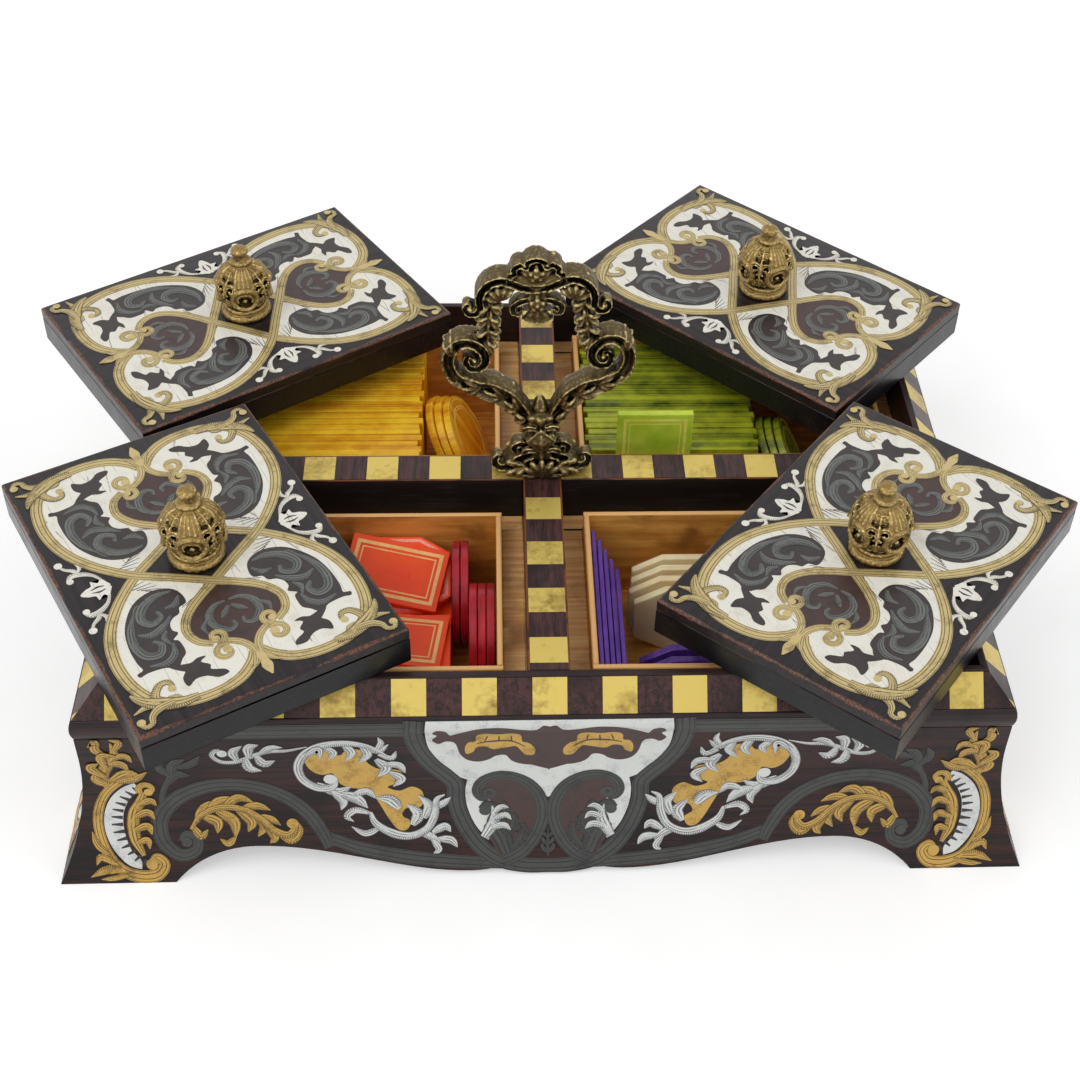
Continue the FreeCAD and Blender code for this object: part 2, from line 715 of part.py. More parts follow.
def volute_turn():
    """The points of a small volute, from its inner end round to where the arch leaves it."""
    points = []
    steps = 7
    for step in range(steps):
        share = step / (steps - 1)
        angle = math.radians(430 - 250 * share)
        radius = VOLUTE_RADIUS * (0.75 + 0.25 * share)
        points.append(Vector(
            VOLUTE_CENTRE_X + radius * math.cos(angle), 0, VOLUTE_CENTRE_HEIGHT + radius * math.sin(angle)
        ))
    return points


def handle():
    """The cast handle on the plane z = 0: leafy base, neck, two C-scrolls, stems, arch, crest and pendant."""
    arch_right = volute_turn() + upright((18.6, 80.0), (17.0, 85.0), (13.2, 88.2), (9.0, 86.8), (5.2, 84.0))
    arch_left = [Vector(-point.x, 0, point.z) for point in arch_right]
    arch_points = arch_right + upright((0.0, 83.0)) + arch_left[::-1]
    half_radii = [1.2, 1.3, 1.4, 1.5, 1.6, 1.7, 1.8, 1.9, 2.0, 2.1, 2.1, 2.2]
    arch = scroll(arch_points, half_radii + [2.4] + half_radii[::-1])

    c_scroll = mirrored_rod(
        upright(
            (24.2, 52.6), (21.6, 51.2), (20.0, 54.2), (21.2, 58.3), (25.2, 61.2), (29.4, 59.8), (31.4, 55.0),
            (30.8, 48.9), (27.0, 43.8), (20.6, 41.4), (14.2, 39.0), (8.8, 34.4), (4.8, 28.4), (1.6, 21.0),
        ),
        [1.3, 1.5, 1.8, 2.1, 2.3, 2.5, 2.8, 3.3, 3.9, 4.3, 4.1, 3.7, 3.4, 3.6],
    )
    stem = mirrored_rod(
        upright((15.6, 83.6), (16.0, 77.0), (16.2, 70.0), (17.6, 63.6), (20.2, 58.6)), [2.3, 2.8, 2.9, 2.7, 2.2]
    )
    side_leaf = mirrored_rod(upright((3.0, 11.0), (8.6, 8.2), (13.6, 4.6), (18.4, 5.2)), [3.4, 3.2, 2.6, 1.3])
    pendant_curl = mirrored_rod(upright((2.0, 76.4), (4.8, 74.6), (7.2, 72.0)), [2.2, 2.0, 2.4])

    rounds = []
    for x, z, radius in ((0.0, 93.6, 5.2), (6.8, 91.4, 4.0), (0.0, 87.6, 5.4), (12.2, 83.0, 3.8), (23.0, 75.2, 2.6)):
        for side in ((-1, 1) if x else (1,)):
            rounds.append(ball(radius, Vector(side * x, 0, z)))

    rosette = facet_loft([
        ring(Vector(0, y, 76.4), X_AXIS, Z_AXIS, radius, NECK_FACETS)
        for y, radius in ((-4.6, 2.6), (-3.4, 4.4), (3.4, 4.4), (4.6, 2.6))
    ])
    pendant = bar([(-3.2, 68.2), (3.2, 68.2), (3.2, 84.0), (-3.2, 84.0)], -3.6, 3.6)

    neck = turned_form([
        (HANDLE_NECK_RADIUS, 1.0),
        (HANDLE_NECK_RADIUS - 0.6, 8.0),
        (HANDLE_NECK_RADIUS - 1.4, 12.0),
        (HANDLE_NECK_RADIUS, HANDLE_BOSS_HEIGHT),
        (HANDLE_NECK_RADIUS - 0.8, 23.0),
        (HANDLE_NECK_RADIUS - 3.0, 27.0),
        (HANDLE_NECK_RADIUS - 2.4, 29.6),
        (HANDLE_NECK_RADIUS - 4.4, 32.4),
        (HANDLE_NECK_RADIUS - 5.8, 35.0),
    ], NECK_FACETS)
    base = block(
        (-HANDLE_BASE_HALF_LENGTH, HANDLE_BASE_HALF_LENGTH),
        (-HANDLE_BASE_HALF_WIDTH, HANDLE_BASE_HALF_WIDTH),
        (0, HANDLE_BASE_THICKNESS),
    )
    base = base.makeFillet(HANDLE_BASE_HALF_WIDTH * 0.8, [edge for edge in base.Edges if edge.BoundBox.ZLength > 1])
    front_leaf = scroll(
        [Vector(0, -2.0, 11.0), Vector(0, -5.2, 6.4), Vector(0, -6.6, 3.0)], [3.6, 3.6, 2.2], X_AXIS
    )
    back_leaf = front_leaf.mirror(Vector(0, 0, 0), Vector(0, 1, 0))

    pieces = [neck, front_leaf, back_leaf, arch, rosette, pendant, boss(-1), boss(1)]
    pieces += side_leaf + c_scroll + stem + pendant_curl + rounds
    upper = one_solid(pieces)
    upper.rotate(Vector(0, 0, 0), Y_AXIS, HANDLE_LEAN)
    solid = one_solid([base, upper])
    bore = Part.makeCylinder(STEM_RADIUS + STEM_CLEARANCE / 3, STEM_GRIP + 0.4)
    under = block((-40, 40), (-20, 20), (-10, 0))
    return solid.cut(bore).cut(under)


def boss(side):
    """The nail-head on one face of the neck: a low pyramid set cornerwise."""
    rings = []
    for half_diagonal, reach in (
        (HANDLE_BOSS_HALF_DIAGONAL, HANDLE_NECK_RADIUS - 2.4),
        (HANDLE_BOSS_HALF_DIAGONAL, HANDLE_NECK_RADIUS),
        (HANDLE_BOSS_HALF_DIAGONAL * 0.15, HANDLE_BOSS_REACH),
    ):
        corners = [
            Vector(half_diagonal * dx, side * reach, HANDLE_BOSS_HEIGHT + half_diagonal * dz)
            for dx, dz in ((1, 0), (0, 1), (-1, 0), (0, -1))
        ]
        rings.append(corners)
    return facet_loft(rings)


def stem():
    """The threaded stem from the handle down through the dividers and the bottom board."""
    low = BOTTOM_HEIGHT - WASHER_THICKNESS - NUT_HEIGHT - 1
    return Part.makeCylinder(STEM_RADIUS, CASE_HEIGHT + STEM_GRIP - low, Vector(0, 0, low))


def washer():
    """The washer under the bottom board."""
    low = BOTTOM_HEIGHT - WASHER_THICKNESS
    disc = turned_form([(WASHER_RADIUS, low), (WASHER_RADIUS, BOTTOM_HEIGHT)], 2 * NECK_FACETS)
    return disc.cut(stem_hole(low - 1, BOTTOM_HEIGHT + 1))


def nut():
    """The six-sided nut on the stem's lower end."""
    low = BOTTOM_HEIGHT - WASHER_THICKNESS - NUT_HEIGHT
    corners = [
        Vector(NUT_RADIUS * math.cos(math.radians(60 * step)), NUT_RADIUS * math.sin(math.radians(60 * step)), low)
        for step in range(6)
    ]
    body = polygon_face(corners).extrude(Vector(0, 0, NUT_HEIGHT))
    return body.cut(Part.makeCylinder(STEM_RADIUS + NUT_THREAD_CLEARANCE, NUT_HEIGHT + 2, Vector(0, 0, low - 1)))


# ---------------------------------------------------------------- counters

def rectangle_counter(length, height, thickness):
    """A flat rectangular counter lying on z = 0, its middle on the Z axis."""
    return block((-length / 2, length / 2), (-height / 2, height / 2), (0, thickness))


def cut_corner_counter(length, height, thickness):
    """A flat counter with its four corners cut off, lying on z = 0."""
    half_length = length / 2
    half_height = height / 2
    corners = []
    for sign_x, sign_y, order in ((1, 1, 1), (-1, 1, -1), (-1, -1, 1), (1, -1, -1)):
        pair = [
            Vector(sign_x * half_length, sign_y * (half_height - CUT_CORNER_RISE), 0),
            Vector(sign_x * (half_length - CUT_CORNER_RUN), sign_y * half_height, 0),
        ]
        corners += pair[::order]
    face = polygon_face(corners)
    return face.extrude(Vector(0, 0, thickness))


def round_counter():
    """A flat round counter lying on z = 0, its rim cut in small flats."""
    rim_line = ring(Vector(0, 0, 0), X_AXIS, Y_AXIS, ROUND_RADIUS, ROUND_FACETS)
    return polygon_face(rim_line).extrude(Vector(0, 0, COUNTER_THICKNESS))


def posed(shape, turns, place):
    """The shape after turns of (axis, degrees), first to last, and a move to a place."""
    copy = shape.copy()
    for axis, degrees in turns:
        copy.rotate(Vector(0, 0, 0), axis, degrees)
    copy.translate(Vector(*place))
    return copy


def standing_row(x_low, y_start, y_end):
    """A row of long counters standing on edge from y_start to y_end, their ends and tops a little uneven."""
    pitch = FICHE_THICKNESS + COUNTER_GAP
    count = int((y_end - y_start - COUNTER_GAP) / pitch)
    row = []
    for index in range(count):
        uneven = END_UNEVENNESS * math.sin(2.4 * index)
        y_low = y_start + COUNTER_GAP + index * pitch
        row.append(block(
            (x_low + uneven, x_low + uneven + FICHE_LENGTH),
            (y_low, y_low + FICHE_THICKNESS),
            (STANDING, STANDING + FICHE_HEIGHT - 0.6 * abs(uneven)),
        ))
    return Part.makeCompound(row)


def leaning_room(lean, count):
    """The room along X that leaning round counters take beside what they lean on."""
    sine = math.sin(math.radians(lean))
    cosine = math.cos(math.radians(lean))
    spacing = (COUNTER_THICKNESS + COUNTER_GAP) / cosine
    return COUNTER_GAP + 2 * ROUND_RADIUS * sine + (count - 1) * spacing + COUNTER_THICKNESS * cosine


def leaning_rounds(support_x, y_low, lean, count):
    """Round counters standing on edge, their tops tipped back along -X against what ends at support_x."""
    disc = round_counter()
    sine = math.sin(math.radians(lean))
    cosine = math.cos(math.radians(lean))
    spacing = (COUNTER_THICKNESS + COUNTER_GAP) / cosine
    discs = []
    for index in range(count):
        place = (
            support_x + COUNTER_GAP + ROUND_RADIUS * sine + index * spacing,
            y_low + COUNTER_GAP + ROUND_RADIUS,
            STANDING + ROUND_RADIUS * cosine,
        )
        discs.append(posed(disc, [(Y_AXIS, 90 - lean)], place))
    return Part.makeCompound(discs)


def upright_rounds(x_low, middle_y, count):
    """Round counters standing upright side by side."""
    disc = round_counter()
    pitch = COUNTER_THICKNESS + COUNTER_GAP
    discs = []
    for index in range(count):
        place = (x_low + index * pitch, middle_y, STANDING + ROUND_RADIUS)
        discs.append(posed(disc, [(Y_AXIS, 90)], place))
    return Part.makeCompound(discs)


def red_rounds():
    """The two groups of upright red rounds beside the cross divider: (back group, front group)."""
    pitch = COUNTER_THICKNESS + COUNTER_GAP
    front_x = -TRAY_NEAR - COUNTER_GAP - FRONT_ROUND_COUNT * pitch
    back_x = front_x - BACK_ROUND_COUNT * pitch
    back_y = -TRAY_NEAR - COUNTER_GAP - ROUND_RADIUS
    return (
        upright_rounds(back_x, back_y, BACK_ROUND_COUNT),
        upright_rounds(front_x, back_y - ROUNDS_STEP, FRONT_ROUND_COUNT),
    )


def red_stack_edge():
    """The x where the flat red counters end, beside the upright rounds."""
    pitch = COUNTER_THICKNESS + COUNTER_GAP
    return -TRAY_NEAR - 2 * COUNTER_GAP - (FRONT_ROUND_COUNT + BACK_ROUND_COUNT) * pitch


def red_stack_height():
    """The height of the top of the lower flat red counters."""
    return TRAY_FLOOR_TOP + RED_LAYER_COUNT * (FICHE_THICKNESS + COUNTER_GAP)


def red_flat():
    """Long red counters lying flat: two crosswise piles, with a lengthwise pile on their front half."""
    pitch = FICHE_THICKNESS + COUNTER_GAP
    edge = red_stack_edge()
    front = -TRAY_FAR_Y + COUNTER_GAP
    crosswise = rectangle_counter(FICHE_HEIGHT, FICHE_LENGTH, FICHE_THICKNESS)
    lengthwise = rectangle_counter(FICHE_LENGTH, FICHE_HEIGHT, FICHE_THICKNESS)
    pile = []
    for layer in range(RED_LAYER_COUNT):
        for column in range(2):
            x = edge - FICHE_HEIGHT / 2 - column * (FICHE_HEIGHT + COUNTER_GAP)
            pile.append(placed(crosswise, x, front + FICHE_LENGTH / 2, STANDING + layer * pitch))
    for layer in range(RED_UPPER_LAYER_COUNT):
        height = red_stack_height() + COUNTER_GAP + layer * pitch
        pile.append(placed(lengthwise, edge - FICHE_LENGTH / 2, front + FICHE_HEIGHT / 2, height))
    return pile


def red_octagon_middle():
    """The middle of the underside of the sloping octagon, whose front edge rests on the lower piles."""
    slope = math.radians(RED_SLOPE)
    half = OCTAGON_WIDTH / 2
    back_y = -TRAY_NEAR - 2 * COUNTER_GAP - COUNTER_THICKNESS * math.sin(slope)
    return (
        red_stack_edge() - COUNTER_GAP - OCTAGON_LENGTH / 2,
        back_y - half * math.cos(slope),
        red_stack_height() + COUNTER_GAP + half * math.sin(slope),
    )


def red_octagon():
    """A cut-corner red counter that slopes down to the front from the tray's back wall."""
    counter = cut_corner_counter(OCTAGON_LENGTH, OCTAGON_WIDTH, COUNTER_THICKNESS)
    return posed(counter, [(X_AXIS, RED_SLOPE)], red_octagon_middle())


def turned_half_length(degrees):
    """Half the room along X that a small plaque takes when it lies turned."""
    turn = math.radians(abs(degrees))
    return SMALL_PLAQUE_LENGTH / 2 * math.cos(turn) + SMALL_PLAQUE_WIDTH / 2 * math.sin(turn)


def red_upper_plaque():
    """The bordered red plaque that lies on the octagon, a little askew."""
    plaque = rectangle_counter(SMALL_PLAQUE_LENGTH, SMALL_PLAQUE_WIDTH, COUNTER_THICKNESS)
    lift = COUNTER_THICKNESS + COUNTER_GAP
    slope = math.radians(RED_SLOPE)
    y, z = red_octagon_middle()[1:]
    x = red_stack_edge() - COUNTER_GAP - turned_half_length(RED_UPPER_TURN)
    place = (x, y - lift * math.sin(slope), z + lift * math.cos(slope))
    return posed(plaque, [(Z_AXIS, RED_UPPER_TURN), (X_AXIS, RED_SLOPE)], place)


def red_lower_plaque():
    """The bordered red plaque that lies on the front pile."""
    plaque = rectangle_counter(SMALL_PLAQUE_LENGTH, SMALL_PLAQUE_WIDTH, COUNTER_THICKNESS)
    pitch = FICHE_THICKNESS + COUNTER_GAP
    place = (
        red_stack_edge() - COUNTER_GAP - turned_half_length(RED_LOWER_TURN),
        -TRAY_FAR_Y + COUNTER_GAP + SMALL_PLAQUE_WIDTH,
        red_stack_height() + RED_UPPER_LAYER_COUNT * pitch + COUNTER_GAP,
    )
    return posed(plaque, [(Z_AXIS, RED_LOWER_TURN)], place)


def purple_long():
    """Thin purple counters on edge along the tray's side, fanned out at the foot and shorter one by one."""
    fan = []
    for index in range(THIN_FICHE_COUNT):
        lean = math.degrees(math.asin(index * THIN_FICHE_FAN / FICHE_HEIGHT))
        length = FICHE_LENGTH - index * THIN_FICHE_SHORTENING
        counter = block((0, THIN_FICHE_THICKNESS), (0, length), (0, FICHE_HEIGHT))
        step = THIN_FICHE_THICKNESS + COUNTER_GAP + THIN_FICHE_FAN
        place = (TRAY_NEAR + COUNTER_GAP + index * step, -TRAY_FAR_Y + COUNTER_GAP, STANDING)
        fan.append(posed(counter, [(Y_AXIS, -lean)], place))
    return Part.makeCompound(fan)


def octagons_on_edge(x_low, y_start, spacing, count):
    """Cut-corner counters standing on edge, one behind another from y_start towards the front."""
    counter = cut_corner_counter(OCTAGON_LENGTH, OCTAGON_WIDTH, COUNTER_THICKNESS)
    row = []
    for index in range(count):
        uneven = END_UNEVENNESS * math.sin(2.0 * index + 1.0)
        place = (x_low + OCTAGON_LENGTH / 2 + uneven, y_start - index * spacing, STANDING + OCTAGON_WIDTH / 2)
        row.append(posed(counter, [(X_AXIS, 90)], place))
    return Part.makeCompound(row)


def counters():
    """Every group of counters, by node."""
    back_group, front_group = red_rounds()
    plaque = rectangle_counter(PLAQUE_WIDTH, PLAQUE_LENGTH, COUNTER_THICKNESS)
    plaque_depth = COUNTER_THICKNESS + COUNTER_GAP
    plaque_place = (
        GREEN_PLAQUE_MIDDLE, TRAY_NEAR + COUNTER_GAP + COUNTER_THICKNESS, STANDING + PLAQUE_LENGTH / 2
    )
    yellow_support = -TRAY_NEAR - YELLOW_END_GAP - leaning_room(ROUNDS_LEAN, LEANING_ROUND_COUNT)
    yellow_row_start = yellow_support - END_UNEVENNESS - FICHE_LENGTH
    green_row_start = TRAY_NEAR + COUNTER_GAP + END_UNEVENNESS
    green_support = green_row_start + FICHE_LENGTH + END_UNEVENNESS
    return {
        "counters_yellow_long": standing_row(yellow_row_start, TRAY_NEAR, TRAY_FAR_Y),
        "counters_yellow_round": leaning_rounds(yellow_support, YELLOW_ROUNDS_Y, ROUNDS_LEAN, LEANING_ROUND_COUNT),
        "counters_green_long": standing_row(green_row_start, TRAY_NEAR + plaque_depth, TRAY_FAR_Y),
        "counters_green_round": leaning_rounds(green_support, TRAY_NEAR, ROUNDS_LEAN, LEANING_ROUND_COUNT),
        "plaque_green": posed(plaque, [(X_AXIS, 90)], plaque_place),
        "counters_red_long": Part.makeCompound(red_flat() + [red_lower_plaque()]),
        "counters_red_round_back": back_group,
        "counters_red_round_front": front_group,
        "plaque_red_octagon": red_octagon(),
        "plaque_red_upper": red_upper_plaque(),
        "counters_purple_long": purple_long(),
        "counters_bone_octagon": octagons_on_edge(BONE_START_X, BONE_START_Y, BONE_SPACING, BONE_OCTAGON_COUNT),
        "counters_purple_octagon": octagons_on_edge(
            BONE_START_X, -TRAY_FAR_Y + COUNTER_GAP + PURPLE_OCTAGON_COUNT * BONE_SPACING, BONE_SPACING, PURPLE_OCTAGON_COUNT
        ),
    }


def build_parts():
    """Every node of the box and its solid or solids."""
    parts = {}
    for side, (angle, half_length, reach) in SIDES.items():
        parts["apron_" + side] = turned(apron(half_length, reach), angle)
        parts["rim_" + side] = turned(rim(half_length, reach), angle)
    for name, brass in (("brass", True), ("rosewood", False)):
        tiles = []
        for angle, half_length, reach in SIDES.values():
            tiles += [turned(tile, angle) for tile in rim_tiles(half_length, reach, brass)]
        parts["rim_squares_" + name] = Part.makeCompound(tiles)
        parts["divider_squares_" + name] = Part.makeCompound(divider_tiles(brass))
    parts["divider_long"] = long_divider()
    parts["divider_cross"] = cross_divider()
    parts["bottom_board"] = bottom_board()
    parts["handle"] = placed(handle(), 0, 0, CASE_HEIGHT)
    parts["handle_stem"] = stem()
    parts["handle_washer"] = washer()
    parts["handle_nut"] = nut()
    for quarter, (sign_x, sign_y) in QUARTERS.items():
        parts["glue_block_" + quarter] = glue_block(sign_x, sign_y)
        parts["ledge_" + quarter] = ledge(sign_x, sign_y)
        parts["tray_" + quarter] = tray(sign_x, sign_y)
        x, y, angle = lid_place(quarter)
        parts["lid_board_" + quarter] = placed(lid_board(), x, y, LID_BASE, angle)
        parts["lid_frame_" + quarter] = placed(lid_frame(), x, y, LID_BASE, angle)
        parts["lid_screw_" + quarter] = placed(knob_screw(), x, y, LID_BASE, angle)
        parts["knob_" + quarter] = placed(knob(), x, y, LID_BASE + LID_HEIGHT, angle)
    parts.update(counters())
    return parts


if __name__ == "__main__":
    os.makedirs("parts", exist_ok=True)
    for node, shape in build_parts().items():
        shape.exportStep("parts/" + node + ".step")
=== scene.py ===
"""Looks of the inlaid games box: rosewood, brass, pewter and bone inlay, cast bronze and stained counters.

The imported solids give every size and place. This file dresses them in the same frame, in metres.
"""
import logging
import math
from dataclasses import dataclass, field
from enum import Enum
from functools import partial
from itertools import product
from typing import Callable, Dict, List, Optional, Sequence, Tuple

import bmesh
import bpy
import numpy as np
from mathutils import Matrix, Vector


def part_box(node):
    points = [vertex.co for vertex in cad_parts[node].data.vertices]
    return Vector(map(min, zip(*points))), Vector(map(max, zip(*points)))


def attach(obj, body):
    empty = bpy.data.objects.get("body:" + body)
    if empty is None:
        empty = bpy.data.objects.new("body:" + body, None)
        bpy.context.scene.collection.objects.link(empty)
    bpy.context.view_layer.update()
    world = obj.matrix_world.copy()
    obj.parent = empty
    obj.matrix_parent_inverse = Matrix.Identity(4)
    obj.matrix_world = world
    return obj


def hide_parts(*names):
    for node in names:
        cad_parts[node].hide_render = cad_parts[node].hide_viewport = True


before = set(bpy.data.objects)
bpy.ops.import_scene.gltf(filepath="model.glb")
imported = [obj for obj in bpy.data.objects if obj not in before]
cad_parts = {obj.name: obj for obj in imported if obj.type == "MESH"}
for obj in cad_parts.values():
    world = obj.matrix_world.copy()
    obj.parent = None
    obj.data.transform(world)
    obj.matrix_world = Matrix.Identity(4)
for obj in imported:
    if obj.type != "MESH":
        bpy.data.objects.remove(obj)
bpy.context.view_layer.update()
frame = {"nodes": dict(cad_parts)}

MM = 0.001
SAME_POINT = 0.002  # millimetres; solids' points nearer than this are one
FLAT_TURN = 0.5  # degrees; faces that turn less than this are joined
EASED_TURN = 35  # degrees; edges that turn more than this are rounded
SHARP_TURN = 40  # degrees; edges that turn more than this are shaded sharp
SPAN = 6  # samples from one point of a line to the next
LID_TURNS = {"front_left": -60.9, "front_right": 51.5, "back_left": 33.5, "back_right": -42.1}  # degrees
Colour = Tuple[float, float, float]
Spot = Tuple[float, float]
Place = Tuple[float, float, float]
Points = Sequence[Tuple[float, ...]]
Bend = Callable[[np.ndarray], np.ndarray]
Socket = bpy.types.NodeSocket
log = logging.getLogger("games_box")


def rgb(red: float, green: float, blue: float) -> Tuple[float, float, float, float]:
    """Turns a screen colour of 0 to 255 into linear light.

    Args:
        red: Red share.
        green: Green share.
        blue: Blue share.

    Returns:
        Linear red, green, blue and an alpha of 1.
    """
    shares = np.array([red, green, blue]) / 255
    linear = np.where(shares <= 0.04045, shares / 12.92, ((shares + 0.055) / 1.055) ** 2.4)
    return float(linear[0]), float(linear[1]), float(linear[2]), 1.0


# ---------------------------------------------------------------- lines and meshes

def smooth_line(points: Points, per_span: int, closed: bool = False) -> np.ndarray:
    """Threads a smooth line through points.

    Each span is the cubic whose slope at a point is half the chord between that point's neighbours.
    A point written twice is a sharp corner.

    Args:
        points: The points, all of one dimension.
        per_span: Samples from one point to the next.
        closed: Whether the line runs round to its start.

    Returns:
        One row for each sample.
    """
    knots = np.asarray(points, float)
    if closed:
        knots = np.vstack([knots[-1:], knots, knots[:2]])
    else:
        knots = np.vstack([2 * knots[:1] - knots[1:2], knots, 2 * knots[-1:] - knots[-2:-1]])
    before, start, end, after = (part[:, None] for part in (knots[:-3], knots[1:-2], knots[2:-1], knots[3:]))
    share = np.linspace(0, 1, per_span, endpoint=False)[None, :, None]
    line = 0.5 * (
        2 * start
        + (end - before) * share
        + (2 * before - 5 * start + 4 * end - after) * share ** 2
        + (3 * start - before - 3 * end + after) * share ** 3
    )
    line = np.where(np.all(start == end, axis=2, keepdims=True), start, line).reshape(-1, knots.shape[1])
    if not closed:
        line = np.vstack([line, knots[-2:-1]])
    moved = np.linalg.norm(np.diff(line, axis=0), axis=1) > 1e-6
    line = line[np.concatenate([[True], moved])]
    return line[:-1] if closed and np.allclose(line[0], line[-1], atol=1e-6) else line


def spread(values: Sequence[float], count: int) -> np.ndarray:
    """Spreads a few values evenly over a line's samples, with straight steps between them.

    Args:
        values: The values from the line's start to its end.
        count: How many samples the line has.

    Returns:
        One value for each sample.
    """
    return np.interp(np.linspace(0, 1, count), np.linspace(0, 1, len(values)), values)


def along(line: np.ndarray) -> np.ndarray:
    """Unit directions of a line at its samples, from the differences of their neighbours."""
    step = np.gradient(line, axis=0)
    return step / np.maximum(np.linalg.norm(step, axis=1, keepdims=True), 1e-9)


def travelled(line: np.ndarray) -> np.ndarray:
    """Distance along a line from its start to each sample, as a running sum of chords."""
    return np.concatenate([[0], np.cumsum(np.linalg.norm(np.diff(line, axis=0), axis=1))])


def grid_faces(rows: int, columns: int, wrap: bool = False) -> np.ndarray:
    """Quads of a grid of points stored row by row.

    Args:
        rows: Rows of points.
        columns: Points in a row.
        wrap: Whether each row closes on itself.

    Returns:
        Four point numbers for each quad.
    """
    row, column = np.meshgrid(np.arange(rows - 1), np.arange(columns if wrap else columns - 1), indexing="ij")
    following = (column + 1) % columns
    corners = [
        row * columns + column, row * columns + following, (row + 1) * columns + following,
        (row + 1) * columns + column,
    ]
    return np.stack([part.ravel() for part in corners], axis=1)


@dataclass
class Soup:
    """Surfaces gathered for one mesh: points, faces and a pair of surface numbers for each point."""
    points: List[np.ndarray] = field(default_factory=list)
    faces: List[List[int]] = field(default_factory=list)
    marks: List[np.ndarray] = field(default_factory=list)
    count: int = 0

    def add(
        self, points: np.ndarray, faces: Sequence[Sequence[int]], marks: Optional[np.ndarray] = None,
    ) -> None:
        """Adds one surface.

        Args:
            points: Its points, three numbers a row.
            faces: Point numbers of each face, counted from this surface's first point.
            marks: Two surface numbers a row, or none for zeros.
        """
        self.faces += [[int(index) + self.count for index in face] for face in faces]
        self.points.append(points)
        self.marks.append(np.zeros((len(points), 2)) if marks is None else marks)
        self.count += len(points)

    def mesh(self, name: str) -> bpy.types.Mesh:
        """Makes the mesh, in metres from millimetres, with its surface numbers as a UV map.

        Args:
            name: The mesh's name.

        Returns:
            The mesh.
        """
        mesh = bpy.data.meshes.new(name)
        points = np.vstack(self.points) * MM
        mesh.from_pydata(points.tolist(), [], self.faces)
        corner = np.empty(len(mesh.loops), dtype=np.int32)
        mesh.loops.foreach_get("vertex_index", corner)
        layer = mesh.uv_layers.new(name="Surface")
        layer.data.foreach_set("uv", np.vstack(self.marks)[corner].astype(np.float32).ravel())
        mesh.validate()
        mesh.update()
        return mesh


def piece(
    name: str, mesh: bpy.types.Mesh, finish: "Finish", body: str, nodes: Sequence[str] = (), slot: str = "",
) -> bpy.types.Object:
    """Puts a mesh in the scene as a piece of the box.

    Args:
        name: The piece's name.
        mesh: Its mesh, already in place.
        finish: What it is made of and how it is finished.
        body: The body that it moves with.
        nodes: Solids that it stands for.
        slot: The record's material slot; not used.

    Returns:
        The piece's object.
    """
    made = bpy.data.objects.new(name, mesh)
    bpy.context.scene.collection.objects.link(made)
    mesh.materials.clear()
    mesh.materials.append(finish.material())
    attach(made, body)
    if nodes:
        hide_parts(*nodes)
    log.info("%s: %d faces", name, len(mesh.polygons))
    return made


# ---------------------------------------------------------------- finishes

